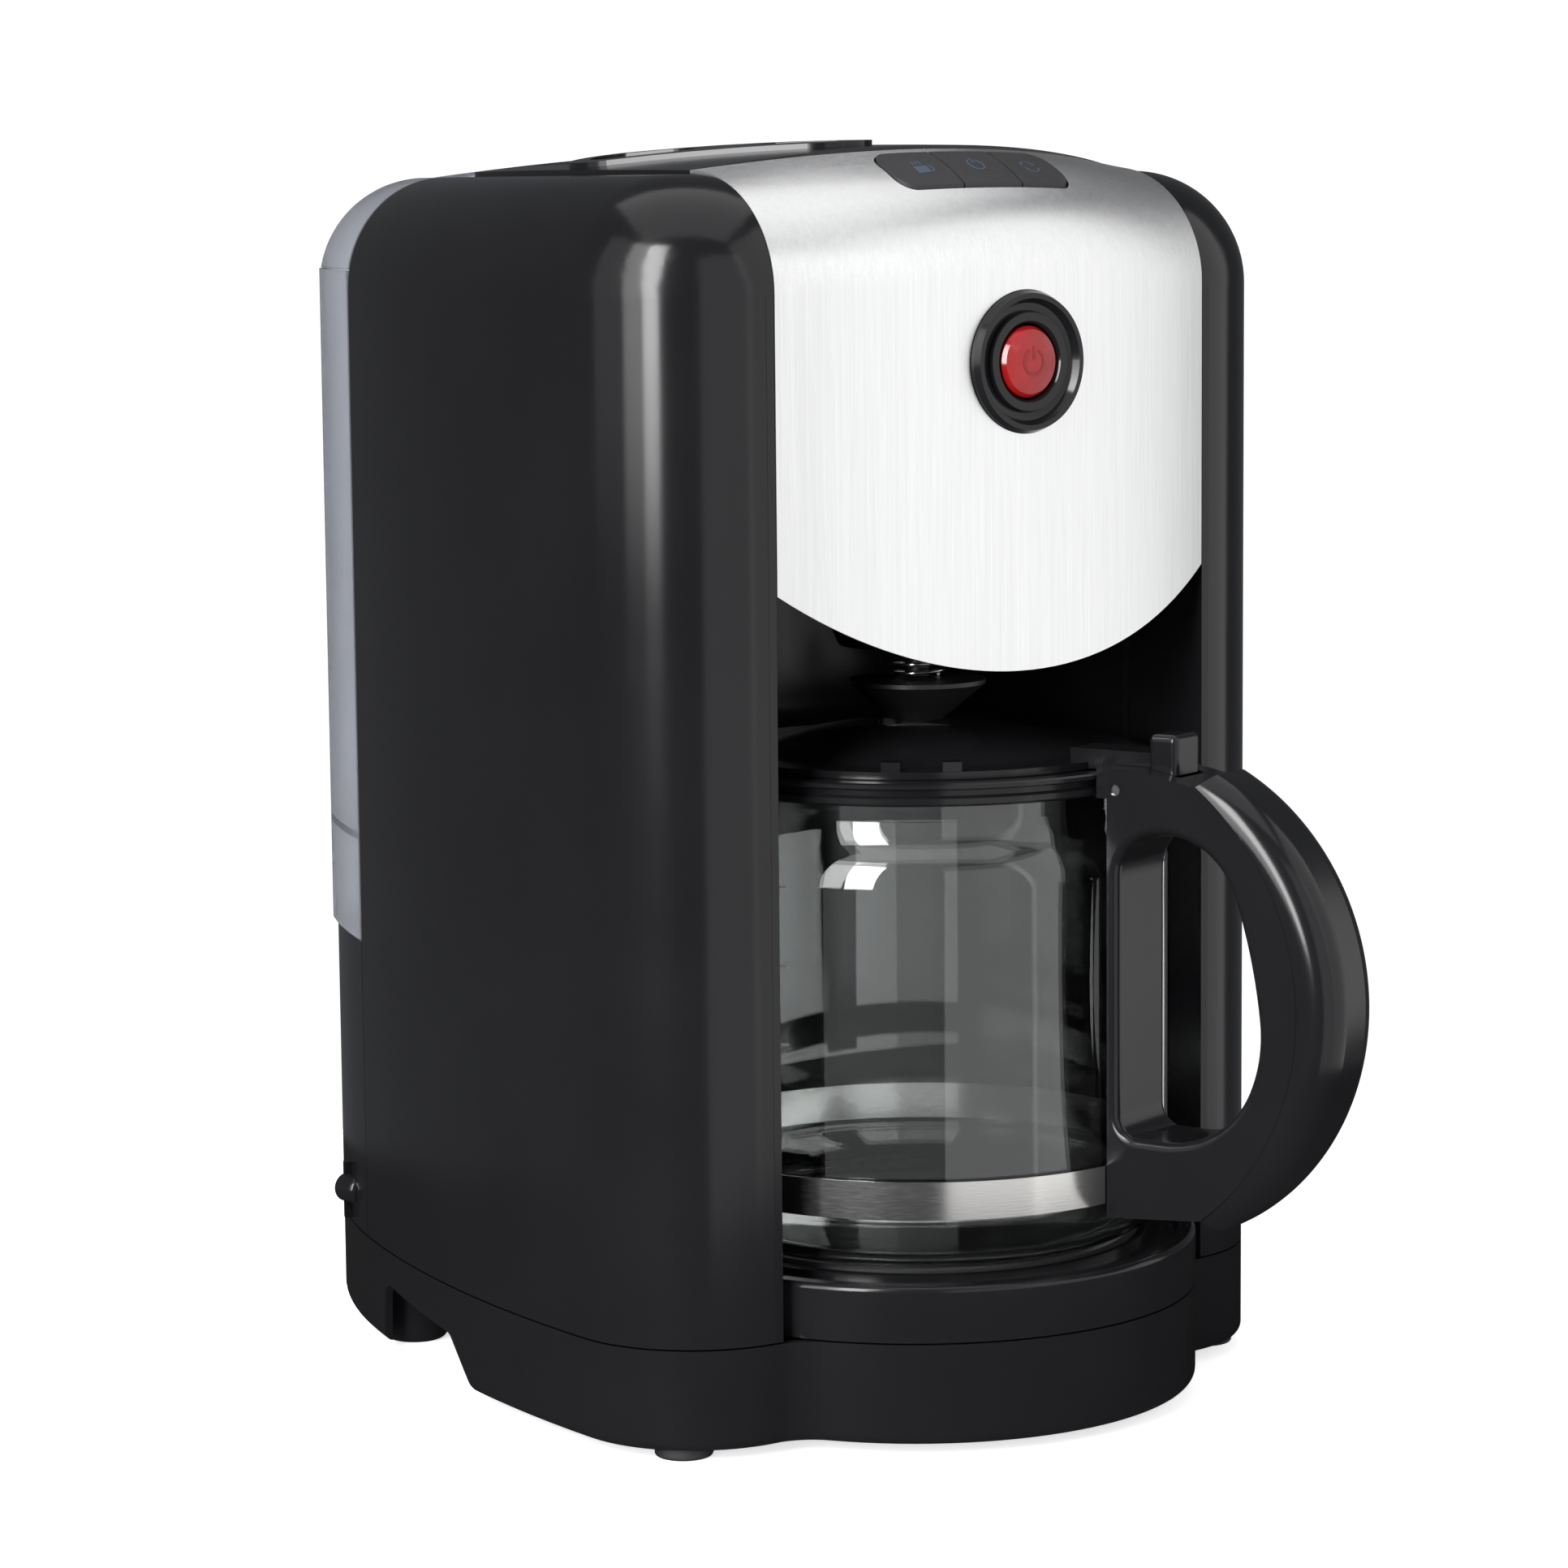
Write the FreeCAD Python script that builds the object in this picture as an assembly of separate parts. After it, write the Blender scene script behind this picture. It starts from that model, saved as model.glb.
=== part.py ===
import FreeCAD, Part

import math
import os

os.makedirs("parts", exist_ok=True)
V = FreeCAD.Vector

# Drip coffee maker with a glass jug. Millimetres, +Z up, the front faces -Y, +X is the user's right.
# While it is modelled, y = 0 is the plane of the two column fronts and z = 0 is the worktop.
# save() moves every piece back by origin_back, so that the origin ends at the middle of the
# assembled machine's footprint.

# ---------------------------------------------------------------- driving dimensions
# overall
top_height = 350.0            # highest point of the crowned lid
side_top = top_height - 7.8   # top of the side housings, where the crown starts
seam_height = 31.0            # joint between the base and the housings
base_bottom = 3.2             # underside of the base wall above the worktop
base_edge_round = 3.0
jug_bay_half_width = 76.5     # from the middle to a column's inner face
column_corner_radius = 38.0   # plan radius of the front corners
tank_front = 180.0            # where the housings stop and the water tank starts
half_width_at_tank = jug_bay_half_width + 15.0     # half width of the housings at the tank
haunch_radius = 220.0         # gentle plan curve behind the tank's front
haunch_turn = 13.0            # degrees
rear_corner_radius = 46.0
back_half_turn = 5.0          # degrees, half of the slightly curved back
top_round = 32.0              # round between the side walls and the top
origin_back = 75.1            # from the column fronts back to the origin

# walls and clearances
wall = 2.5                    # moulded shells
seam_gap = 0.5                # visible joint between shells
moving_gap = 0.6              # round anything that moves

# crowned top
crown_radius_x = 440.0
crown_radius_y = 1900.0
crown_middle_y = 60.0

# front panel
panel_bulge = 12.5            # how far the middle stands forward of the columns
panel_steel = 0.8
panel_carrier_wall = 2.0
panel_end_y = 36.0            # where the panel meets the lid beside the columns
panel_end_bulge = 16.0        # how far that joint curves forward in the middle
panel_round = 32.0            # height of the round at the top of the panel, at its sides
panel_round_middle = 38.0     # the same in the middle, where the round ends at a crease
panel_sweep_middle = 60.0     # depth of the middle's round if it went on to level
panel_crease_drop = 1.0       # the lid's edge stands this much over the panel's middle
panel_side_bottom = 232.0     # lower corners
panel_middle_bottom = 208.0   # lowest point of the curved lower edge

# power button
button_height = top_height - 58.6
bezel_radius = 19.2
bezel_depth = 8.0
button_radius = 9.6
button_travel = 2.0

# keypad
keypad_half_length = 30.0
keypad_front = 13.0           # from the panel's front edge, in plan
keypad_depth = 15.5
keypad_proud = 0.6
key_thickness = 4.0
key_travel = 1.0
key_split = 10.3              # half the middle key
key_stems = (-20.5, 0.0, 20.5)
board_level = top_height - 28.0   # underside of the control board

# lid
lid_rear = tank_front - 5.0
lid_wall = 2.4
lid_skirt_depth = 7.0
lid_pin_y = tank_front - 8.5
lid_pin_drop = 5.3238        # pin axis below the crown over the hinge knuckles
lid_pin_radius = 1.2
lid_knuckle_radius = 2.2
lid_rear_corner = 12.0        # rounded so that the open lid clears the housings
lid_knuckle_x = 42.0
lid_pin_z = (top_height - lid_pin_drop - lid_knuckle_x ** 2 / (2 * crown_radius_x)
             - (lid_pin_y - crown_middle_y) ** 2 / (2 * crown_radius_y))
lid_knuckle_length = 4.0
lid_ear_length = 2.4
deck_height = top_height - 33.0   # floor under the lid
deck_rear_top = lid_pin_z - 5.4   # the rear wall under the lid is lower, clear of the opening lid
grip_x = -50.0                # finger opening in the lid
grip_y = 92.0
grip_length = 30.0
grip_width = 17.0
grip_slant = -52.0            # degrees, the opening and its boss point to the front's middle
boss_height = 1.4             # how far the boss round the opening stands over the lid
boss_reach = 44.0             # how much longer the boss is than the opening

# jug bay and pedestal
bay_back_radius = 76.5
bay_back_centre = 42.0
ceiling_height = 236.0
pedestal_centre = 36.0
pedestal_radius = 79.0
base_blend = 14.0
pedestal_top = 46.8
plate_radius = 58.0
plate_top = 47.6
plate_sheet = 1.0

# jug
jug_y = 34.0                  # jug axis
jug_radius = 70.2
jug_bottom = 48.0
jug_glass = 2.2
jug_shoulder_start = 153.0
jug_neck_radius = jug_radius - 7.7
jug_neck_start = 170.0
jug_neck_top = 178.0
band_low = 63.5
band_high = 73.9
band_sheet = 0.6
collar_low = 174.6
collar_high = 181.0
collar_radius = jug_neck_radius + 4.0
jug_travel = 270.0

# jug handle, in the upright plane through the jug axis
handle_turn = 16.0            # degrees from straight forward towards +X
handle_half_width = 13.0
handle_reach = jug_radius + 69.2  # outermost point from the jug axis
handle_middle_height = 119.6  # level of the outermost point
handle_low = 60.0
handle_top = 182.9            # top edge beside the lid's lever
handle_shoulder = 179.4       # where the top edge meets the cover
handle_cover_depth = 11.0     # how far the cover stands out beyond the side plates
handle_corner_reach = jug_radius + 26.8   # where the top and bottom edges meet the cover
cover_round = 8.0
handle_upright = 1.8          # thickness of the strip along the glass
grip_hole_round = 2.4         # rounded edge of the finger opening
# the finger opening: where its upright side ends, then the ends of the arcs from there round to its
# foot, as (distance from the upright side, height)
grip_hole_head = 153.0
grip_hole_arcs = ((11.0, 165.6), (36.0, 150.5), (43.6, 118.0), (40.6, 98.5), (25.0, 84.0), (13.0, 82.0))
grip_hole_corner = 6.0
jug_pin_reach = jug_radius + 2.3
jug_pin_height = 177.0
jug_pin_radius = 1.5

# jug lid
dome_radius = jug_neck_radius - 15.5
dome_base = 183.2
dome_top = 190.0
dome_hole_radius = 12.5
jug_lid_wall = 2.0
lever_near = jug_radius + 8.7 # the thumb plate on the lid's lever
lever_reach = jug_radius + 17.6
lever_half_width = 6.5
lever_low = 181.2
lever_top = 191.9

# drip valve
valve_tip = 190.6
valve_rim_height = 201.0
valve_rim_radius = 19.0
valve_tip_radius = 7.0
valve_stem_radius = 3.6
valve_top = 232.0
valve_travel = 3.0
spring_radius = 7.6

# filter
filter_y = 72.0               # middle of the filter holder's rim
filter_rim_radius = 49.0
filter_rim_height = deck_height + 1.0
filter_wall = 2.0
filter_bottom = 212.0
filter_bottom_radius = 22.0
basket_gap = 1.6

# water tank
tank_low = 120.0
tank_floor = 149.5
tank_split = top_height - 34.0    # joint between the tank and its lid
tank_wall = 2.2
tank_haunch_radius = 300.0
tank_haunch_turn = 9.0
tank_travel = 235.0
tank_hinge_radius = 2.6
tank_pin_radius = 1.2
tank_valve_y = tank_front + 36.0
socket_radius = 11.0

# base
notch_front = 97.0            # side cut-outs, where a hand lifts the machine
notch_slope_top = 113.0
notch_rear = tank_front - 17.0
notch_front_height = 17.4
notch_rear_height = 21.5
plate_floor = 6.0             # inside height of the bottom plate
plate_thickness = 2.0
front_foot_x = jug_bay_half_width + column_corner_radius - 18.5
front_foot_y = 19.0
front_foot_radius = 8.0
rear_foot_x = 79.0
rear_foot_y = tank_front - 6.0
rear_foot_radius = 9.5

# water path
hose_radius = 5.0
hose_bore = 3.2
hose_height = 46.0            # level of the hose from the tank
riser_x = -52.0
riser_y = tank_front - 32.0
riser_top = deck_height + 12.5
element_radius = 42.0
element_tube = 4.2
element_height = 38.0

# cord gland
gland_y = tank_front + 22.6
gland_height = 41.5
gland_plate = 17.0
gland_proud = 2.2             # how far the gland's plate stands out of the wall
gland_length = 9.0
gland_sleeve_radius = 4.3

SIDES = (-1, 1)
sky = top_height + 50         # a level above everything, for cutting tools


# ---------------------------------------------------------------- helpers
def save(name, *shapes):
    """Moves the pieces to the finished frame and writes one STEP file."""
    solids = [solid for shape in shapes for solid in shape.Solids]
    for solid in solids:
        if not solid.isValid():
            print("INVALID", name)
    whole = solids[0] if len(solids) == 1 else Part.makeCompound(solids)
    whole = whole.copy()
    whole.translate(V(0, -origin_back, 0))
    whole.exportStep("parts/" + name + ".step")
    box = whole.BoundBox
    print("%-20s %d solids  %8.1f mm3  y %.1f..%.1f z %.1f..%.1f"
          % (name, len(solids), sum(s.Volume for s in solids), box.YMin, box.YMax, box.ZMin, box.ZMax))


def block(x0, x1, y0, y1, z0, z1):
    return Part.makeBox(x1 - x0, y1 - y0, z1 - z0, V(x0, y0, z0))


def rod(radius, z0, z1, x=0.0, y=0.0):
    return Part.makeCylinder(radius, z1 - z0, V(x, y, z0))


def ring(outer, inner, z0, z1, x=0.0, y=0.0):
    return rod(outer, z0, z1, x, y).cut(rod(inner, z0 - 1, z1 + 1, x, y))


def cross_rod(radius, x0, x1, y, z):
    return Part.makeCylinder(radius, x1 - x0, V(x0, y, z), V(1, 0, 0))


def deep_rod(radius, y0, y1, x, z):
    return Part.makeCylinder(radius, y1 - y0, V(x, y0, z), V(0, 1, 0))


def flat_face(points):
    return Part.Face(Part.makePolygon([V(*p) for p in points + points[:1]]))


def turned(points, x=0.0, y=0.0):
    """A solid turned about the upright line through (x, y) from a closed (radius, height) outline."""
    face = flat_face([(r, 0, z) for r, z in points])
    solid = face.revolve(V(0, 0, 0), V(0, 0, 1), 360)
    solid.translate(V(x, y, 0))
    return solid


def tube_path(points, bend, outer, bore=None):
    """A round tube along straight runs joined by tangent arcs of the given bend radius."""
    corners = [V(*p) for p in points]
    edges, start = [], corners[0]
    for before, corner, after in zip(corners, corners[1:], corners[2:]):
        into, away = (before - corner).normalize(), (after - corner).normalize()
        half = into.getAngle(away) / 2
        reach = bend / math.tan(half)
        first, last = corner + into * reach, corner + away * reach
        middle_way = (into + away).normalize()
        centre = corner + middle_way * (bend / math.sin(half))
        edges.append(Part.makeLine(start, first))
        edges.append(Part.Arc(first, centre - middle_way * bend, last).toShape())
        start = last
    edges.append(Part.makeLine(start, corners[-1]))
    path = Part.Wire(edges)
    direction = (corners[1] - corners[0]).normalize()

    def swept(radius):
        section = Part.Wire(Part.makeCircle(radius, corners[0], direction))
        return path.makePipeShell([section], True, False)

    body = swept(outer)
    return body.cut(swept(bore)) if bore else body


def coil(radius, wire, z0, z1, turns, x, y):
    """A compression spring standing on z0."""
    helix = Part.makeHelix((z1 - z0 - 2 * wire) / turns, z1 - z0 - 2 * wire, radius)
    section = Part.Wire(Part.makeCircle(wire, V(radius, 0, 0), V(0, 1, 0)))
    spring = Part.Wire(helix.Edges).makePipeShell([section], True, True)
    spring.translate(V(x, y, z0 + wire))
    return spring


# ---------------------------------------------------------------- outer form
def half_outline(inset, radius_b, turn_b):
    """Right half of the plan outline, as tangent arcs from the front to the back."""
    depth = tank_front - column_corner_radius
    narrowing = column_corner_radius + jug_bay_half_width - half_width_at_tank
    side_radius = (narrowing ** 2 + depth ** 2) / (2 * narrowing)
    side_turn = math.degrees(math.asin(depth / side_radius))
    corner_turn = 90 - side_turn - turn_b - back_half_turn
    bends = [
        (column_corner_radius, 90.0),
        (side_radius, side_turn),
        (radius_b, turn_b),
        (rear_corner_radius, corner_turn),
    ]
    point, heading = V(jug_bay_half_width, inset, 0), 0.0
    edges = [Part.makeLine(V(0, inset, 0), point)]

    def bend_on(point, heading, radius, turn):
        angle = math.radians(heading)
        centre = point + V(-math.sin(angle), math.cos(angle), 0) * radius

        def at(share):
            a = math.radians(heading + turn * share)
            return centre + V(math.sin(a), -math.cos(a), 0) * radius

        edges.append(Part.Arc(point, at(0.5), at(1.0)).toShape())
        return at(1.0), heading + turn

    for radius, turn in bends:
        point, heading = bend_on(point, heading, radius - inset, turn)
    back_radius = point.x / math.sin(math.radians(back_half_turn))
    bend_on(point, heading, back_radius, back_half_turn)
    return edges


def outline(inset, radius_b=haunch_radius, turn_b=haunch_turn):
    """Plan face of the body, its edge moved inwards by inset."""
    right = half_outline(inset, radius_b, turn_b)
    left = [edge.mirror(V(0, 0, 0), V(1, 0, 0)) for edge in right]
    front = Part.makeLine(V(-jug_bay_half_width, inset, 0), V(jug_bay_half_width, inset, 0))
    wire = Part.Wire(Part.__sortEdges__([front] + right[1:] + left[1:]))
    return Part.Face(wire)


def prism(face, z0, z1):
    solid = face.extrude(V(0, 0, z1 - z0))
    solid.translate(V(0, 0, z0))
    return solid


def body_form(inset, z0, z1=side_top, **shape):
    """The rounded upper body: plan outline, upright walls, large round to the top."""
    high = z1 - inset
    solid = prism(outline(inset, **shape), z0, high)
    rim = [e for e in solid.Edges if all(abs(v.Z - high) < 1e-6 for v in e.Vertexes)]
    return solid.makeFillet(top_round - inset, rim)


def crown(inset):
    """The double-curved top as a large ring solid; only its outside is used."""
    major, minor = crown_radius_y - crown_radius_x, crown_radius_x - inset
    middle = V(0, crown_middle_y, top_height - crown_radius_y)
    return Part.makeTorus(major, minor, middle, V(1, 0, 0))


def crown_height(x, y):
    return (top_height - x ** 2 / (2 * crown_radius_x)
            - (y - crown_middle_y) ** 2 / (2 * crown_radius_y))


def lid_region(inset, z0, z1, rear=lid_rear):
    """Upright prism of the lid opening: curved front, two curved sides, straight rear."""
    front_bulge = panel_end_bulge
    front_radius = (jug_bay_half_width ** 2 + front_bulge ** 2) / (2 * front_bulge)
    front_y = panel_end_y - front_bulge
    depth = tank_front - column_corner_radius
    narrowing = column_corner_radius + jug_bay_half_width - half_width_at_tank
    side_radius = (narrowing ** 2 + depth ** 2) / (2 * narrowing) - column_corner_radius
    region = rod(front_radius - inset, z0, z1, 0, front_y + front_radius)
    for side in SIDES:
        middle_x = side * (jug_bay_half_width - side_radius)
        region = region.common(rod(side_radius - inset, z0, z1, middle_x, column_corner_radius))
    reach = jug_bay_half_width + 50
    return region.common(block(-reach, reach, -reach, rear - inset, z0 - 1, z1 + 1))


# ---------------------------------------------------------------- front panel form
def panel_section(x, outer, inner, low):
    """Closed section of the panel at x, between two depths below its outside."""
    share = 1 - (x / jug_bay_half_width) ** 2
    front = -panel_bulge * share
    end_y = panel_end_y - panel_end_bulge * share
    span = end_y - front
    sweep = span + (panel_sweep_middle - span) * share
    rise = panel_round + (panel_round_middle - panel_round) * share
    last_angle = math.acos(1 - span / sweep)
    start_z = crown_height(x, end_y) - panel_crease_drop * share - rise * math.sin(last_angle)

    def curve(depth):
        points = []
        for step in range(7):
            angle = last_angle * step / 6
            normal = V(0, -math.cos(angle) / sweep, math.sin(angle) / rise).normalize()
            point = V(x, front + sweep * (1 - math.cos(angle)), start_z + rise * math.sin(angle))
            points.append(point - normal * depth)
        return points

    out, back = curve(outer), curve(inner)

    def smooth(points):
        line = Part.BSplineCurve()
        line.interpolate(points)
        return line.toShape()

    edges = [
        Part.makeLine(V(x, front + outer, low), out[0]),
        smooth(out),
        Part.makeLine(out[-1], back[-1]),
        smooth(back[::-1]),
        Part.makeLine(back[0], V(x, front + inner, low)),
        Part.makeLine(V(x, front + inner, low), V(x, front + outer, low)),
    ]
    return Part.Wire(edges)


def panel_form(outer, inner, half_width, low=panel_middle_bottom - 12):
    sections = 9
    stations = [half_width * (2 * i / (sections - 1) - 1) for i in range(sections)]
    return Part.makeLoft([panel_section(x, outer, inner, low) for x in stations], True, False)


def below_panel(drop):
    """Everything under the curved lower edge of the panel, moved down by drop."""
    rise = panel_side_bottom - panel_middle_bottom
    half = jug_bay_half_width
    low_z, side_z = panel_middle_bottom - drop, panel_side_bottom - drop
    floor = panel_middle_bottom - 60
    arc = Part.Arc(V(-half, -60, side_z), V(0, -60, low_z), V(half, -60, side_z)).toShape()
    lines = [
        Part.makeLine(V(half, -60, side_z), V(half + 5, -60, side_z + rise)),
        Part.makeLine(V(half + 5, -60, side_z + rise), V(half + 5, -60, floor)),
        Part.makeLine(V(half + 5, -60, floor), V(-half - 5, -60, floor)),
        Part.makeLine(V(-half - 5, -60, floor), V(-half - 5, -60, side_z + rise)),
        Part.makeLine(V(-half - 5, -60, side_z + rise), V(-half, -60, side_z)),
    ]
    return Part.Face(Part.Wire([arc] + lines)).extrude(V(0, 110, 0))


def keypad_prism(grow, x0=-keypad_half_length, x1=keypad_half_length):
    """Plan outline of the keypad, following the panel's curve, extruded upright."""
    plan_radius = (jug_bay_half_width ** 2 + panel_bulge ** 2) / (2 * panel_bulge)
    middle_y = plan_radius - panel_bulge
    z0, z1 = top_height - 50, top_height + 10
    sector = ring(plan_radius - keypad_front + grow,
                  plan_radius - keypad_front - keypad_depth - grow, z0, z1, 0, middle_y)
    sector = sector.common(block(x0 - grow, x1 + grow, -40, 60, z0 - 1, z1 + 1))
    ends = [e for e in sector.Edges
            if abs(e.BoundBox.ZLength - (z1 - z0)) < 1e-3
            and abs(e.CenterOfMass.x) > keypad_half_length - 2]
    return sector.makeFillet(5.0 + grow, ends)


# ---------------------------------------------------------------- base
def base_notch(grow):
    """Section of the side cut-outs, in the upright front-to-back plane."""
    points = [
        V(0, notch_front - 2 - grow, -5),
        V(0, notch_front - grow, 2),
        V(0, notch_slope_top - grow, notch_front_height + grow),
        V(0, notch_rear + grow, notch_rear_height + grow),
        V(0, notch_rear + 1.5 + grow, -5),
    ]
    face = Part.Face(Part.makePolygon(points + points[:1]))
    solid = face.extrude(V(300, 0, 0))
    solid.translate(V(-150, 0, 0))
    corners = [e for e in solid.Edges
               if abs(e.BoundBox.XLength - 300) < 1e-3 and e.CenterOfMass.z > 10]
    return solid.makeFillet(5.0, corners)


def rear_underside():
    """What the boat-shaped rear leaves out of the base."""
    rear = outline(0).BoundBox.YMax
    high, low = seam_height - 4, base_bottom - 4
    arc = Part.Arc(V(-150, rear + 1, high), V(-150, rear - 13, (high + low) / 2 - 6),
                   V(-150, rear - 46, low)).toShape()
    lines = [
        Part.makeLine(V(-150, rear - 46, low), V(-150, rear + 20, low)),
        Part.makeLine(V(-150, rear + 20, low), V(-150, rear + 20, high)),
        Part.makeLine(V(-150, rear + 20, high), V(-150, rear + 1, high)),
    ]
    return Part.Face(Part.Wire([arc] + lines)).extrude(V(300, 0, 0))


def base_plan(inset, z0, z1):
    """Body outline joined with the round pedestal in front of it by a hollow blend."""
    body = prism(outline(inset), z0, z1)
    body = body.fuse(rod(pedestal_radius - inset, z0, z1, 0, pedestal_centre)).removeSplitter()
    inner_corners = [e for e in body.Edges
                     if e.BoundBox.ZLength > z1 - z0 - 0.01 and e.BoundBox.XLength < 0.01
                     and abs(e.CenterOfMass.x) < pedestal_radius
                     and math.hypot(e.CenterOfMass.x, e.CenterOfMass.y - pedestal_centre)
                     < pedestal_radius - inset + 0.01]
    return body.makeFillet(base_blend + inset, inner_corners)


def make_base():
    outer = base_plan(0, base_bottom, seam_height)
    low_edges = [e for e in outer.Edges if all(abs(v.Z - base_bottom) < 1e-6 for v in e.Vertexes)]
    outer = outer.makeFillet(base_edge_round, low_edges)
    inner = base_plan(wall, base_bottom - 5, seam_height + 1)
    shell = outer.cut(inner).cut(base_notch(0)).cut(rear_underside())
    for side in SIDES:
        foot = rod(rear_foot_radius, 0, seam_height - 1.5, side * rear_foot_x, rear_foot_y)
        foot = foot.makeFillet(2.5, [e for e in foot.Edges if e.BoundBox.ZMax < 0.01])
        hollow = rod(rear_foot_radius - wall, wall, 80, side * rear_foot_x, rear_foot_y)
        arm = block(side * rear_foot_x - 1.2, side * rear_foot_x + 1.2, rear_foot_y + 8, tank_front + 60,
                    notch_rear_height + 4.2, seam_height - 1.5)
        arm = arm.common(prism(outline(wall / 2), 0, 60))
        shell = shell.fuse(foot.cut(hollow)).fuse(arm.cut(hollow))
    for side in SIDES:
        boss = ring(4.5, 1.6, 9, seam_height, side * front_foot_x, front_foot_y)
        web = block(min(side * front_foot_x, side * 120), max(side * front_foot_x, side * 120),
                    front_foot_y - 1, front_foot_y + 1, 9, 26)
        web = web.common(prism(outline(wall / 2), 0, 60)).cut(
            rod(1.6, 0, 60, side * front_foot_x, front_foot_y))
        shell = shell.fuse(boss).fuse(web)
    return shell


def make_bottom_plate():
    """Steel cover under the works; it steps up over the side cut-outs."""
    low = plate_floor
    step_low = notch_front_height + 1.2
    step_high = notch_rear_height + 1.2
    profile = [
        (-60, low), (notch_front - 9, low), (notch_slope_top - 7, step_low),
        (notch_rear + 1, step_high), (300, step_high), (300, step_high + plate_thickness),
        (notch_rear + 1, step_high + plate_thickness),
        (notch_slope_top - 8, step_low + plate_thickness), (notch_front - 10, low + plate_thickness),
        (-60, low + plate_thickness),
    ]
    face = flat_face([(-150, y, z) for y, z in profile])
    plate = face.extrude(V(300, 0, 0))
    plate = plate.common(base_plan(wall + seam_gap, 0, 60))
    for side in SIDES:
        plate = plate.cut(rod(2.0, 0, 60, side * front_foot_x, front_foot_y))
        plate = plate.cut(rod(rear_foot_radius + 0.4, 0, 60, side * rear_foot_x, rear_foot_y))
    for row in range(5):
        for side in SIDES:
            slot = block(-12, 12, 2, 5, 0, 20)
            slot.translate(V(side * 20, 22 + 9 * row, 0))
            plate = plate.cut(slot)
    return plate


def make_feet():
    feet = []
    for side in SIDES:
        foot = rod(front_foot_radius, 0, plate_floor - 0.1, side * front_foot_x, front_foot_y)
        foot = foot.makeFillet(1.0, [e for e in foot.Edges if e.BoundBox.ZMax < 0.01])
        peg = rod(1.5, plate_floor - 0.2, 12, side * front_foot_x, front_foot_y)
        feet.append(foot.fuse(peg))
    return feet


def tube_window():
    """Hidden opening at the back of the bay for the water tubes."""
    return block(-26, 26, pedestal_centre + 55, 200, 0, pedestal_top - 2.0)


def make_pedestal():
    """Upper half of the pedestal: a round tray that carries the hot plate."""
    low = seam_height + seam_gap
    outer = rod(pedestal_radius, low, pedestal_top, 0, pedestal_centre)
    outer = outer.makeFillet(1.6, [e for e in outer.Edges if e.BoundBox.ZMin > pedestal_top - 0.01])
    inner = rod(pedestal_radius - wall, low - 1, pedestal_top - wall, 0, pedestal_centre)
    hole = rod(plate_radius + 3.4, low, pedestal_top + 5, 0, jug_y)
    groove = ring(pedestal_radius - 5, plate_radius + 7, pedestal_top - 1.6, pedestal_top + 1,
                  0, pedestal_centre)
    tray = outer.cut(inner).cut(hole).cut(groove)
    half = jug_bay_half_width - seam_gap
    bay = block(-half, half, -60, 200, 0, 60)
    return tray.common(bay).cut(tube_window())


# ---------------------------------------------------------------- housings
def make_side_housing(side):
    """One side: outer skin with the rounded top, the column front and the bay's inner wall."""
    low = seam_height + seam_gap
    skin = body_form(0, low).cut(body_form(wall, low - 1))
    skin = skin.common(block(0, 200, -10, tank_front - 0.2, 0, sky))
    skin = skin.cut(block(-1, jug_bay_half_width, -20, panel_end_y + 1, 0, sky))
    skin = skin.cut(lid_region(-seam_gap, deck_height - 10, sky, rear=tank_front + 5))
    inner_wall = block(jug_bay_half_width, jug_bay_half_width + wall, wall / 2, 33, low, side_top - 4.2)
    inner_wall = inner_wall.fuse(
        block(jug_bay_half_width, jug_bay_half_width + wall, 32, 120, low, deck_height - 0.6))
    inner_wall = inner_wall.common(body_form(wall / 2, low))
    edge = block(jug_bay_half_width, jug_bay_half_width + wall, 0, wall, low, side_top - top_round)
    whole = skin.fuse(inner_wall).fuse(edge).removeSplitter()
    whole = sorted(whole.Solids, key=lambda s: -s.Volume)[0]
    return whole if side > 0 else whole.mirror(V(0, 0, 0), V(1, 0, 0))


def make_rear_housing():
    """Below the tank: the rear skin with the shelf that the tank stands on."""
    low = seam_height + seam_gap
    high = tank_low - 0.6
    skin = prism(outline(0), low, high).cut(prism(outline(wall), low - 1, high - wall))
    skin = skin.common(block(-200, 200, tank_front + 0.2, 400, 0, sky))
    front_wall = prism(outline(wall), low, high).common(
        block(-200, 200, tank_front + 0.2, tank_front + 0.2 + wall, 0, sky))
    front_wall = front_wall.cut(deep_rod(hose_radius + 1, tank_front - 5, tank_front + 9, 0, hose_height))
    whole = skin.fuse(front_wall).removeSplitter()
    whole = whole.cut(rod(socket_radius + 0.3, high - 10, high + 5, 0, tank_valve_y))
    for row in range(6):
        slot = block(-24, 24, tank_front + 50, 400, 70 + 6 * row, 73 + 6 * row)
        whole = whole.cut(slot)
    return whole


def make_back_plate():
    """Upright wall between the works and the tank."""
    form = body_form(wall + seam_gap, seam_height + 1)
    plate = form.common(block(-200, 200, tank_front - 2.6, tank_front - 0.4, seam_height + 1,
                              deck_rear_top - 3))
    plate = plate.cut(block(-70, 70, 100, tank_front + 20, 0, 60))
    return plate


def bay_plan(radius, front):
    """Plan face of the bay: straight sides from the front, round at the back."""
    centre = bay_back_centre
    arc = Part.Arc(V(radius, centre, 0), V(0, centre + radius, 0), V(-radius, centre, 0)).toShape()
    corners = [V(-radius, centre, 0), V(-radius, front, 0), V(radius, front, 0), V(radius, centre, 0)]
    lines = [Part.makeLine(p, q) for p, q in zip(corners, corners[1:])]
    return Part.Face(Part.Wire([arc] + lines))


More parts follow.
